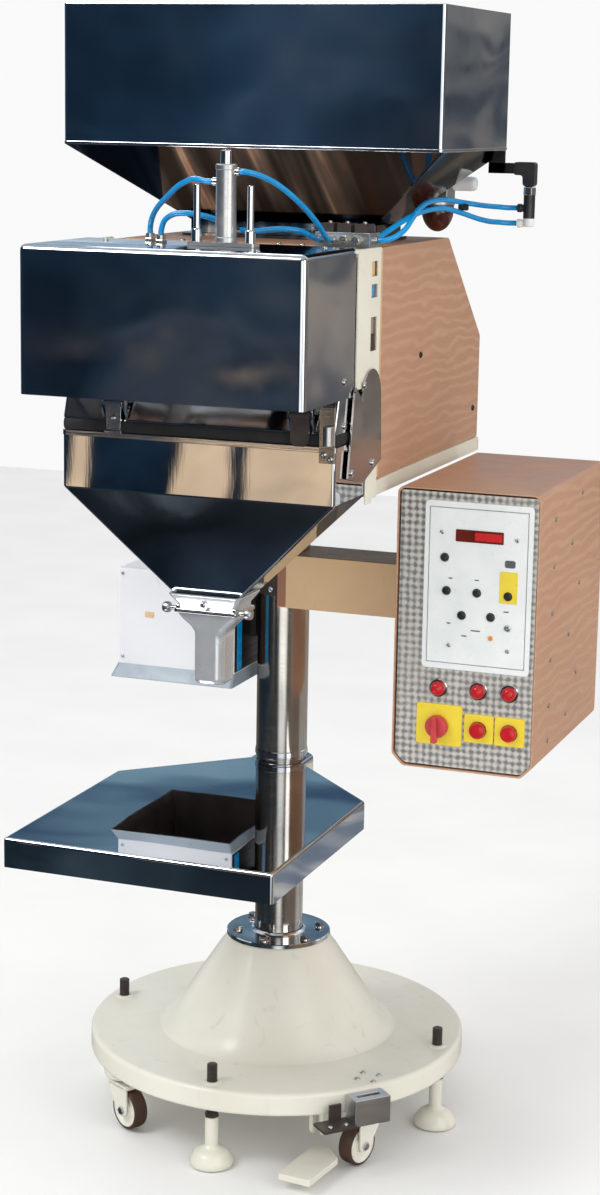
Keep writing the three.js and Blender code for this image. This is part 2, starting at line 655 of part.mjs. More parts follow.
function inletStack() {
  const { x, y, radius, bottom, armLeft, armZ, top } = inlet;
  const body = rod("z", radius, [bottom, top - 3], [x, y]);
  const arm = rod("x", radius, [armLeft, x], [y, armZ - 1]);
  const elbow = block([x - radius, x + radius], [y - radius, y + radius], [armZ - 12, top]);
  const ports = INLET_PORTS.map((z) => rod("x", UNION, [x - 18, x], [y, z], 16));
  const strap = block([264, armLeft + 6], [y + 9.5, y + 12.5], [armZ - 8, armZ + 8]);
  const hook = block([264, 290], [hopper.back + GAP, hopper.back + 3 + GAP], [armZ - 8, hopper.box + 40]);
  const bridge = block([264, 290], [y + 9.5, hopper.back + 3 + GAP], [armZ - 8, armZ + 8]);
  const neckBlock = block([armLeft, armLeft + 6], [y, y + 12.5], [armZ - 8, armZ + 8]);
  return joined(body, arm, elbow, ...ports, strap, hook, bridge, neckBlock);
}

part("air_inlet", inletStack(), blackPlastic);

// Each tube runs through a hand-chosen list of points, from fitting to fitting.
const TUBE_ROUTES = {
  air_tube_1: [
    [68, -370, 1498], [77, -370, 1498], [92, -356, 1493], [107, -338, 1483], [122, -320, 1468],
    [136, -292, 1446], [144, -262, 1423], [147, -243, 1407], [147, -234, 1403], [147, -224, 1403],
  ],
  air_tube_2: [
    [54, -345, 1418], [54, -336, 1418], [57, -321, 1417], [68, -305, 1416], [86, -297, 1418],
    [105, -289, 1419], [121, -274, 1416], [130, -253, 1408], [131, -236, 1403], [131, -224, 1403],
  ],
  air_tube_3: [
    [28, -370, 1484], [18, -370, 1484], [-2, -364, 1486.5], [-30, -350, 1477], [-56, -333, 1460],
    [-80, -314, 1443], [-94, -300, 1427], [-98, -296, 1415], [-98, -296, 1407.3],
  ],
  air_tube_4: [
    [-66, -330, 1407.3], [-66, -330, 1413], [-61, -330, 1427], [-47, -331, 1436], [-26, -331, 1438],
    [-4, -324, 1435], [13, -314, 1429], [29, -309, 1419], [39, -317, 1411], [42, -333, 1408], [42, -345, 1408],
  ],
  air_tube_5: [
    [207, -192, 1403], [216, -192, 1403], [230, -187, 1408], [240, -173, 1418], [243, -153, 1431],
    [242, -118, 1444], [241, -72, 1453], [245, -1, 1455], [257, 45, 1450], [270, 92, 1445],
    [280, 128, 1442], [287.5, 141, 1441], [298, 148, 1440], [308, 150, 1440], [313.7, 150, 1440],
  ],
  air_tube_6: [
    [190, -165, 1403], [190, -156, 1403], [193, -141, 1406], [202, -124, 1415], [215, -104, 1427],
    [228, -80, 1437], [238, -45, 1442], [246, 0, 1442], [258, 45, 1434], [271, 92, 1424],
    [280, 128, 1419], [287.5, 141, 1418], [298, 148, 1417], [308, 150, 1417], [313.7, 150, 1417],
  ],
};

function tube(points) {
  const route = new THREE.CatmullRomCurve3(points.map((p) => new THREE.Vector3(...p)), false, "centripetal");
  const shape = new THREE.Shape();
  shape.absarc(0, 0, TUBE, 0, 2 * Math.PI, false);
  const steps = Math.ceil(route.getLength() / (TUBE * 4));
  return toSolid(new THREE.ExtrudeGeometry(shape, { steps, extrudePath: route, curveSegments: 4 }));
}

for (const [name, points] of Object.entries(TUBE_ROUTES)) {
  part(name, tube(points), bluePlastic);
}

// ---- control box on its arm -------------------------------------------------
function controlArm() {
  const outer = block([arm.left, arm.right], [arm.front, arm.back], [arm.bottom, arm.top]);
  const inner = block([arm.left + 60, arm.right - 3], [arm.front + 3, arm.back - 3], [arm.bottom - 1, arm.top - 3]);
  const saddle = rod("z", sleeve.radius + GAP, [arm.bottom - 1, arm.top + 1], [0, 0], ROUND);
  return outer.subtract(inner).subtract(saddle);
}

function armClamp() {
  const outer = rod("z", clamp.radius, [clamp.bottom, clamp.top], [0, 0], ROUND);
  const ears = block([-12, arm.left], [arm.front, arm.back], [clamp.bottom, clamp.top]);
  const bore = rod("z", sleeve.radius + GAP, [clamp.bottom - 1, clamp.top + 1], [0, 0], ROUND);
  const room = block([arm.left + 1, clamp.radius + 1], [-60, 60], [clamp.bottom - 1, clamp.top + 1]);
  return outer.add(ears).subtract(bore).subtract(room);
}

part("control_arm", controlArm().add(armClamp()), paleTanPaint);

function controlBox() {
  const { left, right, front, back, bottom, top, wall } = box;
  const outer = block([left, right], [front, back], [bottom, top]);
  const inner = block([left + wall, right - wall], [front - 1, back - wall], [bottom + wall, top - wall]);
  return outer.subtract(inner);
}

part("control_box", controlBox(), tanPaint);

const panelSpan = [box.left + panel.inset, box.right - panel.inset];
const panelHeights = [box.bottom + panel.inset, box.top - panel.inset];

function bored(solid, places, radius) {
  return places.reduce((left, place) => left.subtract(rod("y", radius, [-150, panel.back + 1], place)), solid);
}

function controlPanel() {
  const plate = block(panelSpan, [panel.face, panel.back], panelHeights);
  const keys = block([keypad.left, keypad.right], [keypad.face, panel.face + 1], [keypad.bottom, keypad.top]);
  const isolator = [[knob.x, knob.z]];
  return bored(bored(bored(plate.add(keys), KEYS, 7), PUSH_BUTTONS, 9), isolator, 7);
}

part("control_panel", controlPanel(), panelGrey);
part("circuit_board", block([268, 440], [-100, -96], [700, 1020]), bluePlastic);

KEYS.forEach(([x, z], i) => {
  const cap = rod("y", 6, [-149.5, -136], [x, z], 20);
  part(`key_${i + 1}`, cap, blackPlastic);
});

PUSH_BUTTONS.forEach(([x, z], i) => {
  const cap = rod("y", 12, [-158, -148], [x, z], SMALL_ROUND);
  const stem = rod("y", 8.4, [-149, -134], [x, z], SMALL_ROUND);
  part(`push_button_${i + 1}`, cap.add(stem), redPlastic);
});

function isolatorKnob() {
  const hub = rod("y", knob.radius, [knob.front + 8, -148], [knob.x, knob.z], ROUND);
  const grip = block([knob.x - 5, knob.x + 5], [knob.front, knob.front + 9], [knob.z - 16, knob.z + 16]);
  const stem = rod("y", 6.5, [-149, -134], [knob.x, knob.z], SMALL_ROUND);
  return joined(hub, grip, stem);
}

part("isolator_knob", isolatorKnob(), redPlastic);

function junctionBox() {
  const { left, right, front, back, bottom, top, lip } = junction;
  const outer = block([left, right], [front, back], [bottom, top]);
  const inner = block([left + 3, right - 3], [front + 3, back - 3], [bottom - 1, top - 3]);
  const flare = frustum(
    { left: left - 6, right: right + 2, front: front - 14, back: back + 2 }, bottom - lip,
    { left, right, front, back }, bottom + 0.01,
  );
  const flareIn = frustum(
    { left: left - 3, right: right - 1, front: front - 11, back: back - 1 }, bottom - lip - 0.5,
    { left: left + 3, right: right - 3, front: front + 3, back: back - 3 }, bottom + 0.02,
  );
  const stay = block([right - 1, -41], [-14, 14], [770, 830]);
  const seat = rod("z", sleeve.radius + GAP, [760, 840], [0, 0], ROUND);
  return outer.subtract(inner).add(flare.subtract(flareIn)).add(stay.subtract(seat));
}

part("junction_box", junctionBox(), whitePlastic);

const whole = new THREE.Group();
whole.add(machine);

export default whole;
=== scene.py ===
import bmesh
import bpy
import math
from mathutils import Matrix, Vector

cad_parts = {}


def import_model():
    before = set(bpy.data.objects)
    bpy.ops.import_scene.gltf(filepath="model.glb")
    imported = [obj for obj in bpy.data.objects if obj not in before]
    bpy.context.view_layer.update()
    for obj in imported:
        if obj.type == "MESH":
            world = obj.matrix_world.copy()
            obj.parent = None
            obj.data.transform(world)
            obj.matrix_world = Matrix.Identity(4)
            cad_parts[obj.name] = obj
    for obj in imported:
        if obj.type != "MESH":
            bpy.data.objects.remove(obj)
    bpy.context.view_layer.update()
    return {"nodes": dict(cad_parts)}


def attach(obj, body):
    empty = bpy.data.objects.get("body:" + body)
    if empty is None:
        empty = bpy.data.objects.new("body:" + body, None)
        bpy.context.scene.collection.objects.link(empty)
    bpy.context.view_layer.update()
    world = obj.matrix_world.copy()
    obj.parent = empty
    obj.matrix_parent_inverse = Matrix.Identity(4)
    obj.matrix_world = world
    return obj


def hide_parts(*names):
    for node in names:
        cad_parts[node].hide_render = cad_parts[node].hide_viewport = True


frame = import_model()
SCENE = bpy.context.scene

# Millimetres from the column's axis and the floor; the row frame's origin is the footprint's middle.
ORIGIN = (71.25, -104.0)


def V(x, y, z):
    return Vector(((x - ORIGIN[0]) / 1000, (y - ORIGIN[1]) / 1000, z / 1000))


# ---- camera -----------------------------------------------------------------
def make_camera():
    yaw, pitch, roll = math.radians(20.5), math.radians(-11.7), math.radians(1.0)
    forward = Vector((-math.sin(yaw) * math.cos(pitch), math.cos(yaw) * math.cos(pitch), math.sin(pitch)))
    level = Vector((math.cos(yaw), math.sin(yaw), 0))
    upright = level.cross(forward)
    right = math.cos(roll) * level + math.sin(roll) * upright
    up = -math.sin(roll) * level + math.cos(roll) * upright
    data = bpy.data.cameras.new("camera")
    data.sensor_width = 36
    data.lens = 71.6
    camera = bpy.data.objects.new("camera", data)
    turn = Matrix((right, up, -forward)).transposed().to_4x4()
    camera.matrix_world = Matrix.Translation(V(1298, -3399.5, 1587.6)) @ turn
    SCENE.collection.objects.link(camera)
    SCENE.camera = camera


make_camera()


# ---- node helpers ---------------------------------------------------------------
class Tree:
    """A node tree with short calls for the nodes that the materials and the studio share."""

    def __init__(self, tree, place):
        self.tree = tree
        self.place = self.new("ShaderNodeTexCoord").outputs[place]

    def new(self, kind, **settings):
        node = self.tree.nodes.new(kind)
        for key, value in settings.items():
            setattr(node, key, value)
        return node

    def feed(self, value, socket):
        """A number, a colour or another node's output goes into a socket."""
        if isinstance(value, (int, float)):
            socket.default_value = value
        elif isinstance(value, tuple):
            socket.default_value = (*value, 1)
        else:
            self.tree.links.new(value, socket)

    def textured(self, kind, stretch, result, numbers, **settings):
        """A texture of the place, stretched by the three factors, with its numbers set by name."""
        node = self.new(kind, **settings)
        for name, number in numbers.items():
            node.inputs[name].default_value = number
        self.feed(self.scaled(stretch) if stretch else self.place, node.inputs["Vector"])
        return node.outputs[result]

    def scaled(self, factors):
        node = self.new("ShaderNodeMapping")
        node.inputs["Scale"].default_value = factors
        self.feed(self.place, node.inputs["Vector"])
        return node.outputs["Vector"]

    def noise(self, scale, detail=4.0, stretch=None, distortion=0.0):
        return self.textured("ShaderNodeTexNoise", stretch, "Fac",
                             {"Scale": scale, "Detail": detail, "Distortion": distortion})

    def ramp(self, value, stops):
        node = self.new("ShaderNodeValToRGB")
        elements = node.color_ramp.elements
        while len(elements) < len(stops):
            elements.new(0.5)
        for element, (position, color) in zip(elements, stops):
            element.position = position
            element.color = (*color, 1)
        self.feed(value, node.inputs["Fac"])
        return node.outputs["Color"]

    def spread(self, value, low, high, start=0.3, end=0.7, **settings):
        """The value's range from start to end, turned into the range from low to high."""
        node = self.new("ShaderNodeMapRange", **settings)
        for name, number in (("From Min", start), ("From Max", end), ("To Min", low), ("To Max", high)):
            node.inputs[name].default_value = number
        self.feed(value, node.inputs["Value"])
        return node.outputs["Result"]

    def mix(self, factor, first, second, blend="MIX"):
        node = self.new("ShaderNodeMix", data_type="RGBA", blend_type=blend)
        for value, socket in ((factor, 0), (first, 6), (second, 7)):
            self.feed(value, node.inputs[socket])
        return node.outputs[2]


class Nodes(Tree):
    """A material made of nodes, with the Principled shader at its end."""

    def __init__(self, name):
        self.material = bpy.data.materials.new(name)
        self.material.use_nodes = True
        super().__init__(self.material.node_tree, "Object")
        self.shader = self.tree.nodes["Principled BSDF"]

    def voronoi(self, scale):
        return self.textured("ShaderNodeTexVoronoi", None, "Distance", {"Scale": scale})

    def wave(self, scale, distortion, detail=2.0, direction="Z", stretch=None):
        numbers = {"Scale": scale, "Distortion": distortion, "Detail": detail, "Detail Scale": 1.2}
        return self.textured("ShaderNodeTexWave", stretch, "Fac", numbers, bands_direction=direction)

    def bump(self, height, strength, distance, below=None):
        node = self.new("ShaderNodeBump")
        node.inputs["Strength"].default_value = strength
        node.inputs["Distance"].default_value = distance
        self.feed(height, node.inputs["Height"])
        if below is not None:
            self.feed(below, node.inputs["Normal"])
        return node.outputs["Normal"]

    def done(self, color, roughness, normal=None, **values):
        for value, socket in ((color, "Base Color"), (roughness, "Roughness"), (normal, "Normal")):
            if value is not None:
                self.feed(value, self.shader.inputs[socket])
        for key, value in values.items():
            self.shader.inputs[key.replace("_", " ")].default_value = value
        return self.material


def mirror_sheet(name, light, dark, waviness=0.25, rough=(0.045, 0.11), grain=(1, 1, 1)):
    """Mirror-polished sheet: soft patches of painted reflection, faint polishing lines and the slow waves of
    thin sheet.
    """
    n = Nodes(name)
    patches = n.noise(3.1, 3.0, grain, 0.6)
    # painted reflection: the noise patches swing the steel's colour between the light and dark tints,
    # standing in for mirrored surroundings
    color = n.ramp(patches, [(0.34, dark), (0.62, light)])
    haze = n.noise(240, 2.0, (1, 1, 0.12))
    smears = n.noise(14, 5.0)
    roughness = n.spread(smears, rough[0], rough[1], 0.35, 0.75)
    slow = n.bump(n.noise(4.2, 1.0, (1, 1, 1.6)), waviness, 0.02)
    fine = n.bump(haze, 0.008, 0.0004, slow)
    return n.done(color, roughness, fine, Metallic=1.0)


def painted(name, base, shade, rough=(0.28, 0.42), coat=0.0):
    """Sprayed enamel: slow tone drift, orange peel and a few marks."""
    n = Nodes(name)
    tone = n.ramp(n.noise(9), [(0.3, shade), (0.7, base)])
    grime = n.noise(38, 6.0, (1, 1, 0.5), 0.8)
    marks = n.spread(grime, 0.0, 0.55, 0.62, 0.8)
    color = n.mix(marks, tone, tuple(c * 0.72 for c in shade))
    rough_map = n.spread(n.noise(60, 3.0), rough[0], rough[1])
    peel_map = n.bump(n.noise(520, 2.0), 0.12, 0.0004)
    return n.done(color, rough_map, peel_map, Coat_Weight=coat, Coat_Roughness=0.15)


def satin_panel(name, base, shade, streak):
    """Satin enamel on sheet, with long wavy bands of painted reflection in a lighter tint."""
    n = Nodes(name)
    bands = n.wave(7.0, 9.0, 4.0, "Z", (1, 1.0, 2.4))
    tone = n.ramp(n.noise(2.2, 2.0), [(0.3, shade), (0.7, base)])
    # painted reflection: the wave bands lighten the tone towards the streak colour
    color = n.mix(n.spread(bands, 0.0, 0.34, 0.45, 1.0), tone, streak)
    speckle = n.noise(650, 2.0)
    color = n.mix(n.spread(speckle, 0.0, 0.22), color, tuple(c * 0.6 for c in shade))
    roughness = n.spread(bands, 0.34, 0.5, 0.0, 1.0)
    normal = n.bump(speckle, 0.12, 0.0004)
    return n.done(color, roughness, normal)


def turned_metal(name, base, shade, rough=(0.14, 0.26), lines=900, metallic=1.0):
    """Bright turned or ground metal with fine rings across its axis."""
    n = Nodes(name)
    rings = n.noise(lines, 2.0, (0.03, 0.03, 1))
    tone = n.ramp(n.noise(11, 3.0), [(0.3, shade), (0.7, base)])
    color = n.mix(n.spread(rings, 0.0, 0.16), tone, shade)
    roughness = n.spread(rings, rough[0], rough[1])
    return n.done(color, roughness, n.bump(rings, 0.08, 0.0004), Metallic=metallic)


def blasted_steel(name, base, shade):
    """Bead-blasted steel: a half-bright, evenly grained surface with rubbed patches."""
    n = Nodes(name)
    tone = n.ramp(n.noise(17, 4.0), [(0.3, shade), (0.7, base)])
    grain = n.noise(900, 2.0)
    return n.done(tone, n.spread(n.noise(30, 4.0), 0.16, 0.3), n.bump(grain, 0.05, 0.0003), Metallic=0.62)


def painted_streak_sheet(name):
    """Mirror sheet with tall dark and bright streaks of painted reflection running down its slopes: dark for
    the shaded cabinet top it mirrors, white as painted highlights.
    """
    n = Nodes(name)
    tall = n.noise(15, 3.0, (1, 0.05, 0.05))
    # painted reflection: the browns and near blacks paint mirrored shade, the white stop is a painted
    # highlight
    color = n.ramp(tall, [(0.30, (0.22, 0.15, 0.11)), (0.40, (0.07, 0.055, 0.05)), (0.47, (0.05, 0.07, 0.09)),
                          (0.53, (0.16, 0.20, 0.25)), (0.575, (0.34, 0.37, 0.42)), (0.60, (1.0, 1.0, 1.0)),
                          (0.64, (0.45, 0.46, 0.48)), (0.72, (0.20, 0.15, 0.12))])
    patches = n.noise(6, 4.0, (1, 0.3, 0.3), 0.4)
    # painted reflection: these patches darken the streaks towards dark blue
    color = n.mix(n.spread(patches, 0.0, 0.8, 0.46, 0.60), color, (0.055, 0.075, 0.10))
    slow = n.bump(n.noise(4.2, 1.0), 0.12, 0.02)
    return n.done(color, n.spread(n.noise(14, 5.0), 0.05, 0.12, 0.35, 0.75), slow, Metallic=1.0)


def moulded(name, base, shade, rough=(0.25, 0.4), texture=420, depth=0.08, **extra):
    """Moulded plastic or rubber: slight tone drift and a fine grain."""
    n = Nodes(name)
    tone = n.ramp(n.noise(26, 4.0), [(0.3, shade), (0.7, base)])
    roughness = n.spread(n.noise(90, 4.0), rough[0], rough[1])
    return n.done(tone, roughness, n.bump(n.noise(texture, 2.0), depth, 0.0004), **extra)


# Tinted copies of one mirror steel: the navy of the front sheets and the blue-grey of the flat sheets are
# painted reflection of a dark room
MIRROR_NAVY_REFLECTION = mirror_sheet("mirror_steel_painted_navy_reflection", (0.68, 0.71, 0.76), (0.46, 0.51, 0.60), 0.14)
MIRROR_FLAT = mirror_sheet("mirror_steel_flat", (0.70, 0.72, 0.75), (0.50, 0.54, 0.62), 0.035,
                           (0.012, 0.03))
MIRROR = mirror_sheet("mirror_steel", (0.72, 0.73, 0.76), (0.56, 0.57, 0.61))
# The warm tan of the side sheets is painted reflection of warm surroundings
MIRROR_TAN_REFLECTION = mirror_sheet("mirror_steel_painted_tan_reflection", (0.62, 0.58, 0.54), (0.50, 0.47, 0.44), 0.5,
                           (0.14, 0.24), (1, 1, 7))
SATIN = blasted_steel("satin_steel", (0.80, 0.82, 0.84), (0.62, 0.65, 0.68))
STREAK_REFLECTION = painted_streak_sheet("mirror_steel_painted_reflection_streaks")
POLISHED = turned_metal("polished_steel", (0.74, 0.71, 0.66), (0.56, 0.53, 0.48), (0.10, 0.2))
CHROME = turned_metal("chrome_plate", (0.86, 0.87, 0.89), (0.66, 0.68, 0.71), (0.05, 0.12), 500)
ALUMINIUM = turned_metal("satin_aluminium", (0.80, 0.80, 0.79), (0.62, 0.63, 0.64), (0.28, 0.42), 700)
DARK_STEEL = turned_metal("dark_steel", (0.11, 0.105, 0.10), (0.05, 0.048, 0.045), (0.35, 0.5), 400)
CREAM = painted("cream_enamel", (0.81, 0.79, 0.70), (0.75, 0.73, 0.63), coat=0.25)
CHEEK = painted("cream_cheek", (0.78, 0.75, 0.64), (0.70, 0.67, 0.56), rough=(0.3, 0.45))
TAN = satin_panel("tan_enamel", (0.55, 0.305, 0.185), (0.47, 0.25, 0.15), (0.63, 0.40, 0.27))
# A lighter copy of the tan paint: painted highlight on the cabinet's rounded front edge and behind the top
# slot of the cheeks
TAN_HIGHLIGHT = painted("tan_enamel_painted_highlight", (0.70, 0.46, 0.24), (0.62, 0.39, 0.20), rough=(0.3, 0.42))
PALE_TAN = painted("pale_tan_enamel", (0.76, 0.53, 0.30), (0.70, 0.47, 0.26), rough=(0.35, 0.5))
# Darker copies of the arm's paint: painted shade on its top face and at its column end
ARM_TOP_SHADE = painted("arm_top_painted_shade", (0.22, 0.15, 0.11), (0.15, 0.10, 0.075), rough=(0.4, 0.55))
ARM_END_SHADE = painted("arm_end_painted_shade", (0.42, 0.20, 0.12), (0.30, 0.13, 0.08), rough=(0.35, 0.5))
WHITE_BOX = painted("white_enamel", (0.82, 0.83, 0.86), (0.76, 0.78, 0.82), rough=(0.3, 0.42))
WHITE = moulded("white_plastic", (0.80, 0.83, 0.82), (0.73, 0.77, 0.77))
BLACK = moulded("black_plastic", (0.03, 0.03, 0.032), (0.015, 0.015, 0.017))
BROWN_BLACK = moulded("brown_black_plastic", (0.06, 0.045, 0.04), (0.03, 0.022, 0.02), (0.3, 0.45))
RUBBER = moulded("black_rubber", (0.022, 0.022, 0.024), (0.012, 0.012, 0.013), (0.5, 0.7), 700, 0.2)
TREAD = moulded("brown_tread", (0.10, 0.05, 0.03), (0.05, 0.025, 0.015), (0.5, 0.7), 300, 0.25)
YELLOW = moulded("yellow_plate", (0.83, 0.66, 0.05), (0.76, 0.58, 0.03))
RED = moulded("red_plastic", (0.56, 0.012, 0.02), (0.42, 0.008, 0.012), (0.12, 0.25))
PINK_RED = moulded("faded_red_plastic", (0.60, 0.06, 0.07), (0.50, 0.04, 0.05), (0.3, 0.45))
SMOKED = moulded("smoked_bowl", (0.10, 0.022, 0.012), (0.04, 0.012, 0.008), (0.06, 0.16), Coat_Weight=0.6)
BLUE = moulded("blue_tube", (0.0, 0.30, 0.66), (0.0, 0.22, 0.54), (0.16, 0.3), 500, 0.05, Coat_Weight=0.3)
# A blue-grey copy of the white box paint: painted shade on the box's flared lip
LIP_SHADE = painted("box_lip_painted_shade", (0.34, 0.40, 0.46), (0.24, 0.30, 0.36), rough=(0.3, 0.42))
BRASS = turned_metal("nickel_fitting", (0.78, 0.74, 0.66), (0.6, 0.56, 0.48), (0.15, 0.3), 600)
BOARD = moulded("board_green", (0.02, 0.16, 0.07), (0.015, 0.12, 0.05), (0.3, 0.5))
DISPLAY_DARK = moulded("display_window", (0.16, 0.02, 0.012), (0.11, 0.012, 0.008), (0.08, 0.16))
ORANGE = moulded("orange_lens", (0.80, 0.28, 0.04), (0.70, 0.22, 0.03), (0.2, 0.3))


def lit_segments():
    n = Nodes("display_segments")
    glow = n.ramp(n.noise(300, 2.0), [(0.3, (0.50, 0.010, 0.012)), (0.7, (0.62, 0.016, 0.02))])
    return n.done(glow, 0.25, n.bump(n.noise(700, 1.0), 0.05, 0.0003))


SEGMENTS = lit_segments()


def hammered_panel():
    """Blue-grey stucco-embossed aluminium: a tight grid of small raised pads."""
    n = Nodes("panel_grey")
    x = n.wave(30.0, 0.9, 2.0, "X")
    z = n.wave(30.0, 0.9, 2.0, "Z")
    grid = n.mix(0.5, x, z)
    cells = n.mix(0.35, grid, n.voronoi(165.0))
    color = n.ramp(cells, [(0.25, (0.19, 0.19, 0.19)), (0.48, (0.40, 0.395, 0.375)),
                           (0.68, (0.72, 0.70, 0.65))])
    drift = n.noise(7.0, 3.0)
    color = n.mix(n.spread(drift, 0.0, 0.45), color, (0.56, 0.54, 0.50))
    normal = n.bump(cells, 0.5, 0.0012)
    return n.done(color, n.spread(cells, 0.25, 0.45), normal, Metallic=0.3)


PANEL = hammered_panel()

# ---- mesh helpers -------------------------------------------------------------
AXES = {"x": lambda a, p, q: (a, p, q), "y": lambda a, p, q: (p, a, q), "z": lambda a, p, q: (p, q, a)}


class Shape:
    """Points in millimetres and faces, with a material number for each face."""

    def __init__(self):
        self.points = []
        self.faces = []
        self.slots = []

    def add(self, points, faces, slot=0):
        start = len(self.points)
        self.points += [tuple(p) for p in points]
        self.faces += [[start + i for i in face] for face in faces]
        self.slots += [slot] * len(faces)
        return self

    def rings(self, rings, slot=0, start_cap=True, end_cap=True, closed=False):
        count = len(rings[0])
        points = [p for ring in rings for p in ring]
        faces = []
        last = len(rings) if closed else len(rings) - 1
        for k in range(last):
            a, b = k * count, ((k + 1) % len(rings)) * count
            for i in range(count):
                j = (i + 1) % count
                faces.append([a + i, a + j, b + j, b + i])
        if start_cap and not closed:
            faces.append(list(range(count))[::-1])
        if end_cap and not closed:
            faces.append([last * count + i for i in range(count)])
        return self.add(points, faces, slot)

    def prism(self, outline, axis, start, end, slot=0):
        put = AXES[axis]
        return self.rings([[put(a, p, q) for p, q in outline] for a in (start, end)], slot)

    def block(self, x, y, z, slot=0):
        return self.prism([(x[0], y[0]), (x[1], y[0]), (x[1], y[1]), (x[0], y[1])], "z", z[0], z[1], slot)

    def turn(self, profile, axis="z", at=(0, 0), count=48, slot=0, closed=False):
        """profile holds (radius, place along the axis) points, turned about the axis through at."""
        put = AXES[axis]
        rings = []
        for radius, along in profile:
            ring = []
            for i in range(count):
                t = 2 * math.pi * i / count
                ring.append(put(along, at[0] + radius * math.cos(t), at[1] + radius * math.sin(t)))
            rings.append(ring)
        return self.rings(rings, slot, closed=closed)

    def rod(self, axis, radius, span, at, count=32, slot=0, round_end=0.6):
        a, b = span
        e = min(round_end, radius * 0.6, abs(b - a) * 0.3)
        s = 1 if b > a else -1
        profile = [(radius - e, a), (radius - 0.3 * e, a + s * 0.3 * e), (radius, a + s * e),
                   (radius, b - s * e), (radius - 0.3 * e, b - s * 0.3 * e), (radius - e, b)]
        return self.turn(profile, axis, at, count, slot)

    def hexagon(self, axis, across, span, at, slot=0):
        radius = across / math.sqrt(3)
        a, b = span
        e = min(0.12 * across, 0.4 * abs(b - a))
        s = 1 if b > a else -1
        profile = [(radius, a), (radius, b - s * e), (radius * 0.84, b)]
        return self.turn(profile, axis, at, 6, slot)

    def screw_head(self, axis, radius, span, at, count=20, slot=0):
        """A domed screw head with a socket, standing from span[0] out to span[1]."""
        a, b = span
        h = b - a
        profile = [(radius, a), (radius, a + 0.45 * h), (radius * 0.86, a + 0.8 * h), (radius * 0.62, b),
                   (radius * 0.4, b), (radius * 0.36, a + 0.45 * h), (0.05, a + 0.4 * h)]
        return self.turn(profile, axis, at, count, slot)


def rounded(left, right, front, back, z, radius=0.05, steps=5):
    """A level rectangle with rounded corners, as a ring of points."""
    corners = [(right - radius, front + radius, -90), (right - radius, back - radius, 0),
               (left + radius, back - radius, 90), (left + radius, front + radius, 180)]
    ring = []
    for x, y, start in corners:
        for k in range(steps + 1):
            t = math.radians(start + 90 * k / steps)
            ring.append((x + radius * math.cos(t), y + radius * math.sin(t), z))
    return ring


def rounded_outline(outline, radius, steps=4):
    """A 2-D outline with each corner rounded, by at most a third of its shorter side."""
    out = []
    count = len(outline)
    for i in range(count):
        before, here, after = (Vector(outline[(i + d) % count]) for d in (-1, 0, 1))
        a, b = before - here, after - here
        r = min(radius, a.length / 3, b.length / 3)
        start, end = here + a.normalized() * r, here + b.normalized() * r
        for k in range(steps + 1):
            t = k / steps
            out.append(tuple((1 - t) ** 2 * start + 2 * t * (1 - t) * here + t * t * end))
    return out


def rectangle(left, right, low, high, radius, steps=4):
    return rounded_outline([(left, low), (right, low), (right, high), (left, high)], radius, steps)


def smooth_path(points, steps=6):
    """A centripetal Catmull-Rom line through the points, as close together as the tube needs."""
    p = [Vector(q) for q in points]
    p = [2 * p[0] - p[1], *p, 2 * p[-1] - p[-2]]
    out = []
    for i in range(1, len(p) - 2):
        a, b, c, d = p[i - 1:i + 3]
        t0 = 0.0
        t1 = t0 + (b - a).length ** 0.5
        t2 = t1 + (c - b).length ** 0.5
        t3 = t2 + (d - c).length ** 0.5
        for k in range(steps):
            t = t1 + (t2 - t1) * k / steps
            ab = (t1 - t) / (t1 - t0) * a + (t - t0) / (t1 - t0) * b
            bc = (t2 - t) / (t2 - t1) * b + (t - t1) / (t2 - t1) * c
            cd = (t3 - t) / (t3 - t2) * c + (t - t2) / (t3 - t2) * d
            abc = (t2 - t) / (t2 - t0) * ab + (t - t0) / (t2 - t0) * bc
            bcd = (t3 - t) / (t3 - t1) * bc + (t - t1) / (t3 - t1) * cd
            out.append((t2 - t) / (t2 - t1) * abc + (t - t1) / (t2 - t1) * bcd)
    out.append(p[-2])
    return out


def apply_modifiers(obj):
    bpy.context.view_layer.update()
    graph = bpy.context.evaluated_depsgraph_get()
    mesh = bpy.data.meshes.new_from_object(obj.evaluated_get(graph), preserve_all_data_layers=True,
                                           depsgraph=graph)
    obj.modifiers.clear()
    old = obj.data
    obj.data = mesh
    bpy.data.meshes.remove(old)
    return obj


def raw_object(name, shape):
    mesh = bpy.data.meshes.new(name)
    mesh.from_pydata([V(*p) for p in shape.points], [], shape.faces)
    mesh.polygons.foreach_set("material_index", shape.slots)
    mesh.validate()
    obj = bpy.data.objects.new(name, mesh)
    SCENE.collection.objects.link(obj)
    bpy.context.view_layer.objects.active = obj
    work = bmesh.new()
    work.from_mesh(mesh)
    bmesh.ops.recalc_face_normals(work, faces=work.faces)
    work.to_mesh(mesh)
    work.free()
    return obj


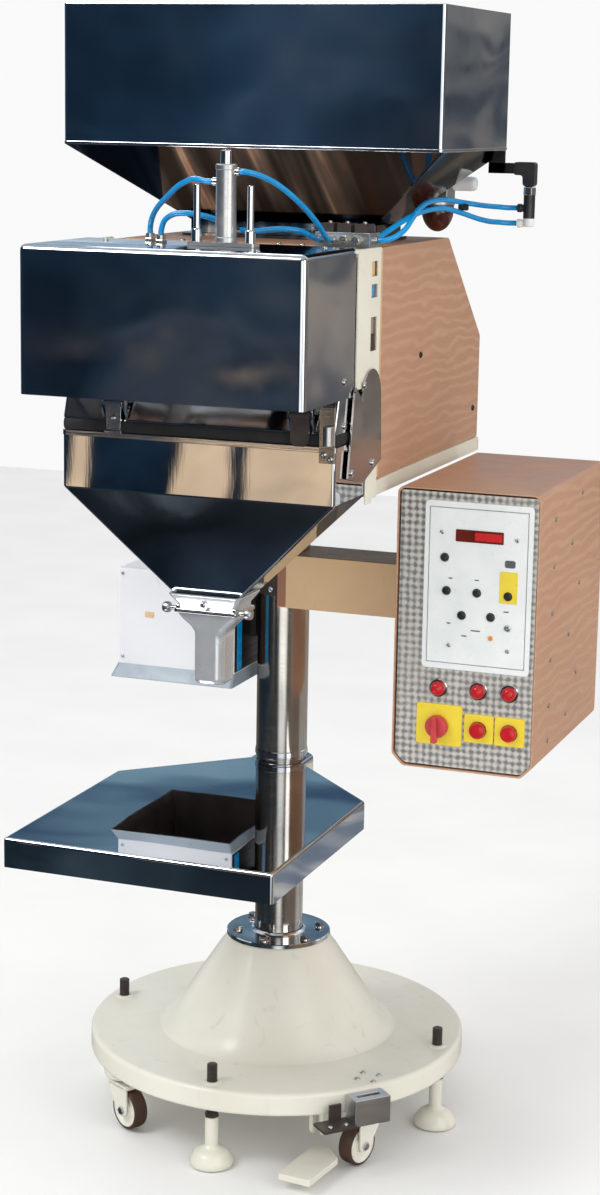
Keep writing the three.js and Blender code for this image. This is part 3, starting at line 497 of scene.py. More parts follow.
def piece(name, shape, materials, body, replaces=(), slot=None, bevel=0.0, segments=2, cuts=None, sharp=38.0):
    """One finished piece: bevelled, smooth-shaded with sharp creases kept, riding on its body."""
    obj = raw_object(name, shape)
    for material in materials if isinstance(materials, (list, tuple)) else [materials]:
        obj.data.materials.append(material)
    if cuts is not None:
        cutter = raw_object(name + "_cutter", cuts)
        modifier = obj.modifiers.new("cut", "BOOLEAN")
        modifier.operation = "DIFFERENCE"
        modifier.solver = "EXACT"
        modifier.object = cutter
        apply_modifiers(obj)
        bpy.data.objects.remove(cutter)
    if bevel:
        modifier = obj.modifiers.new("bevel", "BEVEL")
        modifier.width = bevel / 1000
        modifier.segments = segments
        modifier.limit_method = "ANGLE"
        modifier.angle_limit = math.radians(30)
        apply_modifiers(obj)
    obj.data.polygons.foreach_set("use_smooth", [True] * len(obj.data.polygons))
    obj.data.set_sharp_from_angle(angle=math.radians(sharp))
    modifier = obj.modifiers.new("normals", "WEIGHTED_NORMAL")
    modifier.keep_sharp = True
    modifier.weight = 60
    apply_modifiers(obj)
    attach(obj, body)
    if replaces:
        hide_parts(*([replaces] if isinstance(replaces, str) else replaces))
    return obj


def look(node, shape, materials, slot, body="head", **finish):
    """The visual piece that stands for one node of the frame."""
    return piece(node + "_look", shape, materials, body, node, slot, **finish)


# ---- air tubes ----------------------------------------------------------------
TUBES = {
    "air_tube_1": [(.068, -.370, 1.498), (.077, -.370, 1.498), (.092, -.356, 1.493), (.107, -.338, 1.483),
                   (.122, -.320, 1.468), (.136, -.292, 1.446), (.144, -.262, 1.423), (.147, -.243, 1.407),
                   (.147, -.234, 1.403), (.147, -.224, 1.403)],
    "air_tube_2": [(.054, -.345, 1.418), (.054, -.336, 1.418), (.057, -.321, 1.417), (.068, -.305, 1.416),
                   (.086, -.297, 1.418), (.105, -.289, 1.419), (.121, -.274, 1.416), (.130, -.253, 1.408),
                   (.131, -.236, 1.403), (.131, -.224, 1.403)],
    "air_tube_3": [(.028, -.370, 1.484), (.018, -.370, 1.484), (-.002, -.364, 1.4865), (-.030, -.350, 1.477),
                   (-.056, -.333, 1.460), (-.080, -.314, 1.443), (-.094, -.300, 1.427), (-.098, -.296, 1.415),
                   (-.098, -.296, 1.4073)],
    "air_tube_4": [(-.066, -.330, 1.4073), (-.066, -.330, 1.413), (-.061, -.330, 1.427),
                   (-.047, -.331, 1.436), (-.026, -.331, 1.438), (-.004, -.324, 1.435),
                   (.013, -.314, 1.429), (.029, -.309, 1.419),
                   (.039, -.317, 1.411), (.042, -.333, 1.408), (.042, -.345, 1.408)],
    "air_tube_5": [(.207, -.192, 1.403), (.216, -.192, 1.403), (.230, -.187, 1.408), (.240, -.173, 1.418),
                   (.243, -.153, 1.431), (.242, -.118, 1.444), (.241, -.072, 1.453), (.245, -.001, 1.455),
                   (.257, .045, 1.450), (.270, .092, 1.445), (.280, .128, 1.442), (.2875, .141, 1.441),
                   (.298, .148, 1.440), (.308, .150, 1.440), (.3137, .150, 1.440)],
    "air_tube_6": [(.190, -.165, 1.403), (.190, -.156, 1.403), (.193, -.141, 1.406), (.202, -.124, 1.415),
                   (.215, -.104, 1.427), (.228, -.080, 1.437), (.238, -.045, 1.442), (.246, 0, 1.442),
                   (.258, .045, 1.434), (.271, .092, 1.424), (.280, .128, 1.419), (.2875, .141, 1.418),
                   (.298, .148, 1.417), (.308, .150, 1.417), (.3137, .150, 1.417)],
}
TUBE_RADIUS = 0.004


def air_tubes():
    for name, route in TUBES.items():
        points = [p - Vector((ORIGIN[0] / 1000, ORIGIN[1] / 1000, 0)) for p in smooth_path(route)]
        curve = bpy.data.curves.new(name, "CURVE")
        curve.dimensions = "3D"
        curve.bevel_depth = TUBE_RADIUS
        curve.bevel_resolution = 4
        curve.use_fill_caps = True
        spline = curve.splines.new("POLY")
        spline.points.add(len(points) - 1)
        for target, point in zip(spline.points, points):
            target.co = (*point, 1)
        spline.use_smooth = True
        curve.materials.append(BLUE)
        obj = bpy.data.objects.new(name + "_look", curve)
        SCENE.collection.objects.link(obj)
        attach(obj, "head")
        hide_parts(name)


air_tubes()


# ---- pedestal -----------------------------------------------------------------
def polar(radius, degrees):
    t = math.radians(degrees)
    return radius * math.cos(t), radius * math.sin(t)


def arc(cx, cy, radius, start, end, steps=5):
    turns = [polar(radius, start + (end - start) * k / steps) for k in range(steps + 1)]
    return [(cx + x, cy + y) for x, y in turns]


def turned_about_z(shape, degrees, at):
    t = math.radians(degrees)
    c, s = math.cos(t), math.sin(t)
    shape.points = [(at[0] + x * c - y * s, at[1] + x * s + y * c, z) for x, y, z in shape.points]
    return shape


JACKS = [polar(272, a) for a in (180, 270, 0, 90)]
CASTERS = [polar(268, a) for a in (-37.5, 45, 135, 225)]
TRAILS = (-109, 70, 120, -30)


def cone_foot(inset, steps=10):
    start, bend, end = (158 - inset, 166), (176 - inset, 136 - inset), (192, 134 - inset)
    out = []
    for k in range(steps + 1):
        t = k / steps
        out.append(tuple((1 - t) ** 2 * a + 2 * t * (1 - t) * b + t * t * c
                         for a, b, c in zip(start, bend, end)))
    return out


def base_casting():
    shape = Shape()
    cone = [(82 + 76 * k / 6, 283 - 117 * k / 6) for k in range(1, 6)]
    profile = [(39, 283), (78, 283), *arc(78, 279, 4, 80, 30, 3), *cone, *cone_foot(0), (240, 134),
               (292, 134), *arc(293, 127, 7, 90, 0, 6), (300, 104), *arc(295, 103, 5, 0, -90, 4), (291, 98),
               (290, 100), (290, 124), *reversed(cone_foot(9)), (78, 274), (39, 274)]
    shell = Shape().turn(profile, count=128, closed=True)
    for x, y in JACKS:
        for ring in ([(8.6, 126), (16, 126), (16, 105.5), (14.6, 104), (8.6, 104)],
                     [(8.6, 133.2), (15, 133.2), (15, 135.2), (13.6, 136), (8.6, 136)]):
            shape.turn(ring, at=(x, y), count=28, closed=True)
    for x, y in CASTERS:
        shape.turn([(28, 126), (28, 97), (27, 96), (10, 96)], at=(x, y), count=32)
    ears = Shape()
    for x0 in (-27, -9):
        ears.prism([(-9, 125), (-9, 58), (-5, 52), (5, 52), (9, 58), (9, 125)], "x", x0, x0 + 6)
    ears.rod("x", 4, (-29, -1), (0, 62), 20)
    turned_about_z(ears, -8, (166, -212))
    shape.add(ears.points, ears.faces)
    holes = Shape()
    for x, y in JACKS:
        holes.rod("z", 8.4, (90, 150), (x, y), 24)
    look("base_casting", shell, CREAM, "cream_paint", "pedestal", cuts=holes, sharp=32)
    piece("base_bosses", shape, CREAM, "pedestal", slot="cream_paint", sharp=32)
    bolts = Shape()
    x, y = CASTERS[0]
    for dx, dy in ((-13, -13), (13, -13), (13, 13), (-13, 13)):
        bolts.screw_head("z", 4.6, (133.8, 136.4), (x + dx, y + dy), 14)
    piece("caster_bolts_top", bolts, ALUMINIUM, "pedestal", slot="aluminium")


def lower_column():
    tube = Shape().turn([(35, 284), (38, 291), (38, 928.6), (37, 930), (36, 930), (35, 929), (35, 700)],
                        count=72, closed=True)
    flange = Shape().turn([(39.4, 283.4), (82, 283.4), (83, 284.4), (83, 289.8), (81.8, 291), (45, 291),
                           (42, 292.6), (39.4, 295)], count=96, closed=True)
    tube.add(flange.points, flange.faces, 1)
    for k in range(6):
        x, y = polar(66, 30 + 60 * k)
        tube.hexagon("z", 13, (291, 298), (x, y), 1)
        tube.turn([(8.2, 291), (8.2, 292.3), (5, 292.3)], at=(x, y), count=20, slot=1)
    look("lower_column", tube, [POLISHED, CHROME], "polished_steel", "pedestal")


def threaded(radius, start, end, pitch=2.0, depth=0.8):
    profile = []
    z = start
    while z < end - pitch:
        profile += [(radius - depth, z), (radius, z + pitch * 0.35), (radius, z + pitch * 0.65)]
        z += pitch
    return [*profile, (radius - depth, z), (radius - 1.6, end)]


def jacks():
    foot = [(1, 0.2), (29, 0), (33, 2), (34, 5), (34, 9.5), (32, 13), *arc(12, 8, 20, 35, 78, 5), (13, 29.5),
            (10.5, 33), (10.5, 76.5), (9.4, 78), (8, 78)]
    for i, (x, y) in enumerate(JACKS):
        shape = Shape().turn(foot, at=(x, y), count=40)
        shape.turn([*threaded(8, 77, 163.6), (4, 164)], at=(x, y), count=24, slot=1)
        shape.hexagon("z", 20, (79, 85.4), (x, y), 1)
        name = f"jack_{i + 1}"
        piece(name + "_look", shape, [CREAM, BROWN_BLACK], name, name, "cream_paint", sharp=34)


def casters():
    for i, (x, y) in enumerate(CASTERS):
        fork = Shape()
        fork.turn([(10, 95.6), (24, 95.6), (25, 94.6), (25, 83), (22, 79.5), (12, 78)], count=36)
        fork.turn([(25.6, 92), (26.6, 91), (26.6, 87), (25.6, 86)], count=36)
        bridge = rectangle(-18, 36, -16.5, 16.5, 7)
        fork.prism(bridge, "z", 69, 76)
        leg = rounded_outline([(-18, 72), (36, 72), (35, 30), (24, 22.5), (13, 27)], 9)
        for y0 in (-16.5, 13.5):
            fork.prism(leg, "y", y0, y0 + 3)
        fork.rod("y", 4.8, (-17.6, 17.6), (24, 34), 20, 1)
        fork.hexagon("y", 12, (16.4, 20.4), (24, 34), 1)
        fork.hexagon("y", 12, (-16.4, -20.4), (24, 34), 1)
        turned_about_z(fork, TRAILS[i], (x, y))
        name = f"caster_fork_{i + 1}"
        piece(name + "_look", fork, [CREAM, ALUMINIUM], f"caster_{i + 1}", name, "cream_paint", bevel=0.7)
        wheel = Shape()
        hub = [(5.4, -11), (11, -11), (12, -7.5), (22, -7), (25, -10.5), (27.6, -11.4), (27.6, 11.4),
               (25, 10.5), (22, 7), (12, 7.5), (11, 11), (5.4, 11)]
        wheel.turn(hub, "y", (24, 34), 56, closed=True)
        tread = [(27.4, -11.6), (29.5, -12), (31.2, -10.6), (32, -7), (32, 7), (31.2, 10.6), (29.5, 12),
                 (27.4, 11.6)]
        wheel.turn(tread, "y", (24, 34), 64, 1, closed=True)
        turned_about_z(wheel, TRAILS[i], (x, y))
        name = f"caster_wheel_{i + 1}"
        piece(name + "_look", wheel, [CREAM, TREAD], f"wheel_{i + 1}", name, "cream_paint")


def pedal_and_valve():
    bar = Shape()
    plan = rounded_outline([(-27, -107), (27, -107), (27, -14), (-4, 12), (-27, 12)], 4)
    bar.prism(plan, "z", 16, 26)
    bar.prism([(-8, 25), (8, 25), (8, 60), (-8, 60)], "x", -20, -10)
    bar.rod("x", 9, (-20, -10), (0, 62), 28)
    hole = Shape().rod("x", 4.3, (-30, 0), (0, 62), 20)
    turned_about_z(bar, -8, (166, -212))
    turned_about_z(hole, -8, (166, -212))
    look("foot_pedal", bar, CREAM, "cream_paint", "pedal", bevel=1.4, segments=3, cuts=hole)

    valve = Shape()
    valve.block((301, 333), (-30, 30), (88, 130))
    valve.block((333, 336.5), (-13, 13), (97, 121), 1)
    valve.rod("x", 7.5, (336, 339.5), (0, 109), 28, 2)
    valve.rod("y", 5, (29, 35), (316, 108), 20, 2)
    slot = Shape().block((312, 321), (-19, 19), (123, 132))
    for shape in (valve, slot):
        turned_about_z(shape, -43, (0, 0))
    look("foot_valve", valve, [ALUMINIUM, BROWN_BLACK, DARK_STEEL], "aluminium", "pedestal",
          bevel=1.3, segments=3, cuts=slot)
    plate = Shape()
    plate.prism(rectangle(303, 341, -86, -29, 3), "z", 90, 94)
    plate.block((303, 307), (-60, -40), (93, 118))
    plate.screw_head("z", 4, (94, 97), (330, -70), 16, 1)
    plate.screw_head("z", 4, (94, 97), (330, -44), 16, 1)
    turned_about_z(plate, -43, (0, 0))
    piece("valve_bracket", plate, [BROWN_BLACK, CHROME], "pedestal", slot="dark_steel", bevel=0.8)
    # A dark floor in the valve's top slot: painted shade in the recess
    inner = Shape().block((309, 324), (-20, 20), (118, 123.6))
    turned_about_z(inner, -43, (0, 0))
    piece("valve_slot_painted_shade", inner, BROWN_BLACK, "pedestal", slot="dark_steel", bevel=0.5)


base_casting()
lower_column()
jacks()
casters()
pedal_and_valve()


# ---- bag tray -----------------------------------------------------------------
def tray_outline(inset):
    right = [(203 - inset, -556 + inset), (203 - inset, -179 - inset * 0.4), (44 - inset, -20 - inset * 0.4),
             (44 - inset, 30), (28, 46 - inset)]
    return rounded_outline([*right, *[(-x, y) for x, y in reversed(right)]], 5 if inset < 1 else 3)


def bag_tray():
    shape = Shape()
    rows = [(2.4, 571), (2.4, 533.6), (0, 533.6), (0, 571.6), (0.35, 573.5), (1.3, 575.2), (2.8, 576.2),
            (4.8, 576.6)]
    shape.rings([[(x, y, z) for x, y in tray_outline(inset)] for inset, z in rows])
    holes = Shape().rod("z", 38.8, (520, 600), (0, 0), 72)
    look("bag_tray", shape, MIRROR_FLAT, "mirror_steel", "tray", cuts=holes)
    collar = Shape().turn([(38.7, 571), (38.7, 499), (40, 497.6), (56, 497.6), (58, 499.6), (58, 533),
                           (52, 540), (50, 571)], count=64, closed=True)
    collar.block((-12, -1.5), (46, 78), (500, 531))
    collar.block((1.5, 12), (46, 78), (500, 531))
    collar.rod("x", 4, (-18, 18), (66, 515), 20, 1)
    collar.hexagon("x", 13, (12, 20), (66, 515), 1)
    collar.rod("x", 3, (-20, -17), (66, 515), 20, 1)
    collar.rod("z", 2.6, (492, 540), (-19, 66), 16, 1)
    piece("tray_collar", collar, [CREAM, CHROME], "tray", slot="mirror_steel", bevel=0.8)


bag_tray()


SIDES = (-1, "left"), (1, "right")


# ---- column sleeve and head frame -----------------------------------------------
def upper_sleeve():
    shape = Shape().turn([(38.5, 580.6), (39, 580), (39.7, 580.2), (40.2, 581), (40.2, 1052.6),
                          (39.6, 1053.6), (38.5, 1053.6)], count=80, closed=True)
    look("upper_sleeve", shape, POLISHED, "polished_steel")
    clip = Shape().turn([(40.3, 583), (41.4, 584), (41.4, 592), (40.3, 593)], count=80, closed=True)
    piece("sleeve_ring", clip, CHROME, "head", slot="chrome")


def head_frame():
    shape = Shape()
    shape.block((-207, 207), (-200, 345), (1054, 1058))
    for side in (-1, 1):
        x = sorted((side * 203, side * 207))
        shape.block(x, (-200, 345), (1036, 1056))
    shape.block((-207, 207), (-200, -196), (1036, 1056))
    shape.block((-207, 207), (341, 345), (1036, 1056))
    shape.turn([(40.6, 1009.5), (58, 1009.5), (62, 1014), (62, 1055), (40.6, 1055)], count=64, closed=True)
    piece("channel_look", shape, CHEEK, "head", ["head_frame"], "cream_paint", bevel=1.2)
    for side, name in SIDES:
        x = sorted((side * 208.2, side * 211))
        wall = Shape()
        outline = rounded_outline([(-215, 1036), (-186, 1036), (-186, 1391), (-282.5, 1391), (-282.5, 1200),
                                   (-215, 1200)], 2.5, 3)
        wall.prism(outline, "x", x[0], x[1])
        slots = Shape()
        for z0, z1 in ((1354, 1375), (1324, 1343), (1249, 1297)):
            slots.block((x[0] - 2, x[1] + 2), (-226, -198), (z0, z1))
        piece("cheek_" + name, wall, CHEEK, "head", slot="cream_paint", cuts=slots, bevel=0.7)
        fill = Shape()
        y = (-223.5, -200.5)
        inner = sorted((side * 204.6, side * 206.4))
        fill.block(inner, y, (1351, 1378), 0)
        fill.block(inner, y, (1321, 1346), 1)
        fill.block(inner, y, (1272, 1300), 2)
        fill.block(inner, y, (1246, 1271), 3)
        piece("slot_backs_" + name, fill, [TAN_HIGHLIGHT, BLUE, ALUMINIUM, BROWN_BLACK], "head",
              slot="cream_paint", bevel=0.6)
        bar = Shape()
        bar.block(sorted((side * 206, side * 211.6)), (-292, -186), (1388.6, 1393.6))
        piece("cheek_flange_" + name, bar, CHEEK, "head", slot="cream_paint", bevel=1.4, segments=3)
    cross = Shape()
    cross.block((-208, 208), (-218, -187), (1379, 1391))
    cross.block((-18, 18), (-334, -190), (1346, 1378), 1)
    cross.block((-12, 12), (-300, -230), (1340, 1384), 1)
    piece("cross_bar", cross, [CHEEK, ALUMINIUM], "head", slot="cream_paint", bevel=1.0)


def bullet_plates():
    crown = [(-223 + 40 * math.cos(math.radians(a)), 1183 + 42 * math.sin(math.radians(a)))
             for a in range(0, 181, 12)]
    outline = [(-318, 1080), (-254, 1066), (-176, 1090), *crown, (-290, 1205), (-296, 1197)]
    for side, name in SIDES:
        x = sorted((side * 211.3, side * 214.3))
        shape = Shape().prism(outline, "x", x[0], x[1])
        piece(f"side_plate_{name}_look", shape, MIRROR_TAN_REFLECTION, "head", f"side_plate_{name}", "mirror_steel",
              bevel=0.6)
        screws = Shape()
        for y, z in ((-259, 1205), (-216, 1090), (-306, 1087)):
            screws.screw_head("x", 5.2, (side * 214.2, side * 217.8), (y, z), 20)
        piece("plate_screws_" + name, screws, CHROME, "head", slot="chrome")


upper_sleeve()
head_frame()
bullet_plates()


# ---- feeder cabinet -------------------------------------------------------------
def feeder_cabinet():
    outline = [(-157, 1058.3), (348, 1058.3), (348, 1225), (160, 1391), (-157, 1391)]
    soft = rounded_outline(outline, 4, 3)
    inset = rounded_outline([(-154, 1061.3), (345, 1061.3), (345, 1223.7), (158.6, 1388), (-154, 1388)], 3, 3)
    shape = Shape()
    for side in (-1, 1):
        shape.prism(soft, "x", side * 203, side * 200)
    rings = [[(x, y, z) for y, z in out]
             for x, out in ((-200.5, soft), (200.5, soft), (200.5, inset), (-200.5, inset))]
    shape.rings(rings, closed=True)
    cuts = Shape()
    cuts.block((-155.6, 155.6), (-39.5, 80.5), (1380, 1400))
    cuts.block((-165, 165), (-170, -140), (1270, 1352))
    look("feeder_cabinet", shape, TAN, "tan_paint", cuts=cuts, bevel=0.8)
    for side, name in SIDES:
        flange = Shape()
        x = sorted((side * 198, side * 204.4))
        flange.block(x, (-184, -158), (1060, 1391))
        # the lighter tan of the flange is a painted highlight on the rounded edge
        piece("cabinet_flange_" + name, flange, TAN_HIGHLIGHT, "head", slot="tan_paint", bevel=2.4, segments=4)
        screws = Shape()
        for y, z in ((30, 1221), (316, 1109)):
            screws.screw_head("x", 4.6, (side * 202.8, side * 206), (y, z), 18)
        piece("cabinet_screws_" + name, screws, DARK_STEEL, "head", slot="dark_steel")


def inner_feeder():
    for node, material in (("feeder_drive", DARK_STEEL), ("feeder_pan", MIRROR), ("weigh_bucket", MIRROR),
                           ("bucket_door", MIRROR), ("cylinder_rod", CHROME), ("circuit_board", BOARD)):
        mesh = frame["nodes"][node].data
        mesh.materials.clear()
        mesh.materials.append(material)


feeder_cabinet()
inner_feeder()


# ---- weighing chamber -----------------------------------------------------------
def weigh_cover():
    left, right, front, back, bottom, top = -209.8, 209.8, -486, -283, 1192, 1397
    shape = Shape()
    r, e = 9.0, 9.0
    outer = [rounded(left, right, front, back, z, r) for z in (bottom, bottom + 1, 1290, top - e)]
    for k in range(1, 6):
        t = math.radians(90 * k / 5)
        d = e * (1 - math.cos(t))
        outer.append(rounded(left + d, right - d, front + d, back - d * 0.2, top - e + e * math.sin(t),
                             max(0.8, r - d), 5))
    inner = [rounded(left + 2, right - 2, front + 2, back - 2, z, r - 2) for z in (top - 4, 1290, bottom)]
    shape.rings(inner + outer)
    hole = Shape().rod("z", 9, (1380, 1410), (48, -370), 32)
    open_back = Shape().block((-204, 204), (-288, -280), (1180, 1388))
    hole.add(open_back.points, open_back.faces)
    look("weigh_cover", shape, MIRROR_NAVY_REFLECTION, "mirror_steel", cuts=hole, sharp=40)
    detail = Shape()
    for side in (-1, 1):
        detail.screw_head("x", 5.4, (side * 209.6, side * 212.6), (-329, 1216), 20)
    detail.screw_head("z", 3.6, (1396.8, 1398.8), (128, -452), 16)
    detail.screw_head("z", 3.6, (1396.8, 1398.8), (-150, -332), 16)
    detail.screw_head("z", 3.6, (1396.8, 1398.8), (176, -322), 16)
    for x, y in ((-98, -296), (-66, -330)):
        detail.hexagon("z", 15, (1397, 1401), (x, y))
        detail.rod("z", 6.3, (1400.6, 1407), (x, y), 24)
    piece("cover_fittings", detail, BRASS, "head", slot="chrome")


CHAMBER = (-207.9, 207.9, -354.5, -220.7)


def chamber():
    skirt = Shape()
    rows = [(1145.3, 0), (1148, 0.3), (1190, 13.8), (1191.7, 14)]
    out = [rounded(-207.9, 207.9, -354.5 + d, -220.7, z, 6) for z, d in rows]
    inn = [rounded(-204.9, 204.9, -351.5 + d, -223.7, z, 4) for z, d in reversed(rows)]
    skirt.rings(out + inn, closed=True)
    look("chamber_skirt", skirt, MIRROR, "mirror_steel")
    seal = Shape()
    rows = [(1128.6, -1.2), (1130, 0.2), (1136, 0.8), (1143, 0.2), (1144.8, -1.2)]
    out = [rounded(*shrink(CHAMBER, -d), z, 7) for z, d in rows]
    inn = [rounded(-199, 199, -345.6, -229.6, z, 3) for z in (1144.8, 1128.6)]
    seal.rings(out + inn, closed=True)
    look("mouth_gasket", seal, RUBBER, "black_rubber")


def shrink(area, by=2.6):
    left, right, front, back = area
    return left + by, right - by, front + by, back - by


def funnel(mouth, outlet, rows):
    """A sheet funnel: each row is a height and how far the mouth has narrowed to the outlet there."""
    def narrowed(t):
        return [m + (o - m) * t for m, o in zip(mouth, outlet)]

    outer = [rounded(*narrowed(t), z, 5) for z, t in rows]
    inner = [rounded(*shrink(narrowed(t)), z, 3) for z, t in reversed(rows)]
    return Shape().rings(outer + inner, closed=True)


def discharge_hopper():
    shape = funnel(CHAMBER, (-55, 55, -313.6, -231.5),
                   [(1128, 0), (1127, 0), (1046.5, 0), (1043.5, 0.012), (970, 0.506), (897, 1)])
    look("discharge_hopper", shape, MIRROR_FLAT, "mirror_steel", sharp=24)
    lip = Shape()
    out = [rounded(*shrink(CHAMBER, -d), z, 6 + d) for z, d in
           ((1120, 0), (1120.6, 1.4), (1127.4, 1.4), (1128.2, 0))]
    inn = [rounded(*shrink(CHAMBER, 3), z, 4) for z in (1128.2, 1120)]
    lip.rings(out + inn, closed=True)
    piece("hopper_lip", lip, CHROME, "head", slot="chrome")


def spout():
    cy = -281

    def at(half, deep, z, r=6):
        return rounded(-half, half, cy - deep, cy + deep, z, r)

    shape = Shape()
    outer = [at(55.6, 42.6, 896.5), at(55.6, 42.6, 894), at(46, 32, 880), at(46, 32, 866),
             at(42, 30, 858, 10), at(29, 28, 846, 12), at(24.5, 27.2, 838, 14), at(24, 27, 830, 14),
             at(24, 27, 771, 14), at(23.2, 26.2, 765, 14), at(20.8, 23.8, 762, 12)]
    inner = [at(18.5, 21.5, 763.2, 10), at(20.8, 23.8, 768, 11), at(21, 24, 838, 11), at(39, 27, 858, 8),
             at(43, 29, 866, 4), at(43, 29, 880, 4), at(52, 39.5, 896.5, 4)]
    shape.rings(outer + inner, closed=True)
    look("discharge_spout", shape, SATIN, "polished_steel", sharp=45)
    flange = Shape()
    flange.rings([at(49.6, 35.6, 868, 5), at(50, 36, 869, 5), at(50, 36, 872, 5), at(49.4, 35.4, 873, 5),
                  at(45.5, 31.5, 873, 4), at(45.5, 31.5, 868, 4)], closed=True)
    flange.screw_head("y", 4.2, (cy - 38.6, cy - 42), (-2, 882), 18)
    for x in (-44, 44):
        flange.hexagon("z", 8, (872.5, 878), (x, cy - 30))
    piece("spout_flange", flange, CHROME, "head", slot="chrome")
    knobs = Shape()
    for side in (-1, 1):
        knobs.rod("x", 3.2, (side * 49, side * 60), (cy - 26, 872), 18)
        ball = [(2, 58), (7.2, 59), (8, 61.5), (8, 66), (6.6, 69), (2, 70)]
        knobs.turn([(radius, side * x) for radius, x in ball], "x", (cy - 26, 872), 28)
    piece("spout_knobs", knobs, ALUMINIUM, "head", slot="aluminium")


def latches():
    front = -357
    left = Shape()
    left.rod("x", 6, (-139, -109), (front - 4, 1172), 28)
    tongue = [(-136, 1170), (-112, 1170), (-113, 1134), (-119, 1129), (-129, 1129), (-135, 1134)]
    left.prism(rounded_outline(tongue, 3), "y", front - 6.5, front - 1.5)
    left.block((-137, -111), (front - 9, front - 2), (1129, 1133.5))
    left.screw_head("y", 4, (front - 6.4, front - 9), (-124, 1150), 18)
    look("latch_left", left, CHROME, "chrome", "latch_left", bevel=0.7)
    right = Shape()
    right.rod("x", 6, (143, 173), (front - 4, 1172), 28)
    tongue = [(144, 1170), (172, 1170), (171, 1133), (166, 1128), (150, 1128), (145, 1133)]
    right.prism(rounded_outline(tongue, 3), "y", front - 8.6, front - 1.2)
    right.prism([(149, 1160), (167, 1160), (165, 1140), (151, 1140)], "y", front - 9, front - 8)
    look("latch_right", right, BROWN_BLACK, "black_plastic", "latch_right", bevel=0.9)
    brackets = Shape()
    cheek = [(front + 0.5, 1150), (front + 0.5, 1186), (front - 8, 1178), (front - 8, 1166)]
    for x in (-143, -108, 139, 174):
        brackets.prism(cheek, "x", x, x + 3)
    piece("latch_brackets", brackets, CHROME, "head", slot="chrome", bevel=0.4)
    clamp = Shape()
    clamp.block((185, 207.5), (-358.8, -355.2), (1106, 1184), 0)
    clamp.rod("z", 7, (1131, 1158), (200, -364), 28, 1)
    clamp.screw_head("y", 4, (-358.8, -361.6), (192, 1118), 18, 2)
    clamp.screw_head("y", 4, (-358.8, -361.6), (202, 1112), 18, 2)
    piece("corner_clamp", clamp, [POLISHED, ALUMINIUM, CHROME], "head", slot="chrome", bevel=0.7)
    bolts = Shape()
    for y in (-322, -290, -248):
        bolts.screw_head("x", 4.6, (207.4, 211.0), (y, 1154), 20)
        bolts.screw_head("x", 3.6, (207.4, 210.4), (y + 8, 1121), 18)
        bolts.screw_head("x", 4.6, (-207.4, -211.0), (y, 1154), 20)
    piece("chamber_bolts", bolts, CHROME, "head", slot="chrome")
    side = Shape()
    for s in (-1, 1):
        side.prism(rectangle(-232, -206, 1030, 1118, 3), "x", s * 208.4, s * 210.9)
    piece("hopper_side_blocks", side, CHEEK, "head", slot="cream_paint", bevel=0.8)


weigh_cover()
chamber()
discharge_hopper()
spout()
latches()


# ---- gate cylinder ----------------------------------------------------------------
def gate_cylinder():
    x, y = 48, -370
    shape = Shape()
    shape.prism(rectangle(-5, 94, -382, -358, 4), "z", 1397.3, 1402.2)
    shape.turn([(11, 1402), (15, 1403), (15, 1409), (14.2, 1410), (14.2, 1500), (15, 1501), (15, 1506.6),
                (13.6, 1508), (8, 1508)], at=(x, y), count=48)
    shape.turn([(8.5, 1507.6), (8.5, 1525.4), (7.2, 1527), (3, 1527)], at=(x, y), count=32, slot=1)
    guide = [(7.5, 1402), (7.5, 1418), (6.4, 1420), (4.8, 1420.4), (4.8, 1478.6), (3.8, 1480), (1, 1480)]
    for gx in (5, 84):
        shape.turn(guide, at=(gx, y), count=28, slot=1)
    shape.rod("x", 5.6, (60, 67.7), (y, 1498), 24, 2)
    shape.rod("x", 5.6, (28.3, 36), (y, 1484), 24, 2)
    for px, z in ((54, 1418), (42, 1408)):
        shape.rod("y", 5.6, (y + 12, y + 24.7), (px, z), 24, 2)
    look("gate_cylinder", shape, [ALUMINIUM, CHROME, BRASS], "aluminium")


gate_cylinder()


# ---- product hopper -----------------------------------------------------------------
def product_hopper():
    mouth, outlet = (-293.2, 293.2, -175.4, 155.2), (-149.6, 149.6, -33.5, 74.5)
    box = Shape()
    rows = [(1526.8, 0, 6), (1528, 0, 6), (1727, 0, 6), (1728, 0.5, 5)]
    outer = [rounded(*shrink(mouth, d), z, r) for z, d, r in rows]
    inner = [rounded(*shrink(mouth), z, 4) for z in (1728, 1727, 1528, 1526.8)]
    box.rings(outer + inner, closed=True)
    look("product_hopper", box, MIRROR_NAVY_REFLECTION, "mirror_steel")
    low = funnel(mouth, outlet, [(1526.4, 0), (1524, 0.02), (1470, 0.507), (1415, 1), (1350, 1)])
    collar = (-159.6, 159.6, -43.5, 84.5), (-150, 150, -34, 75)
    low.rings([rounded(*collar[i], z, 3) for i, z in ((0, 1391.5), (0, 1395.3), (1, 1395.3), (1, 1391.5))],
              closed=True)
    piece("product_hopper_pyramid", low, STREAK_REFLECTION, "head", slot="mirror_steel", sharp=24)
    seam = Shape()
    rows = [(0, 1525.8, 6), (-0.5, 1526.6, 6), (-0.5, 1529.6, 6), (0, 1530.4, 6), (1, 1530.4, 4),
            (1, 1525.8, 4)]
    seam.rings([rounded(*shrink(mouth, d), z, r) for d, z, r in rows], closed=True)
    piece("hopper_seam", seam, CHROME, "head", slot="mirror_steel")


product_hopper()


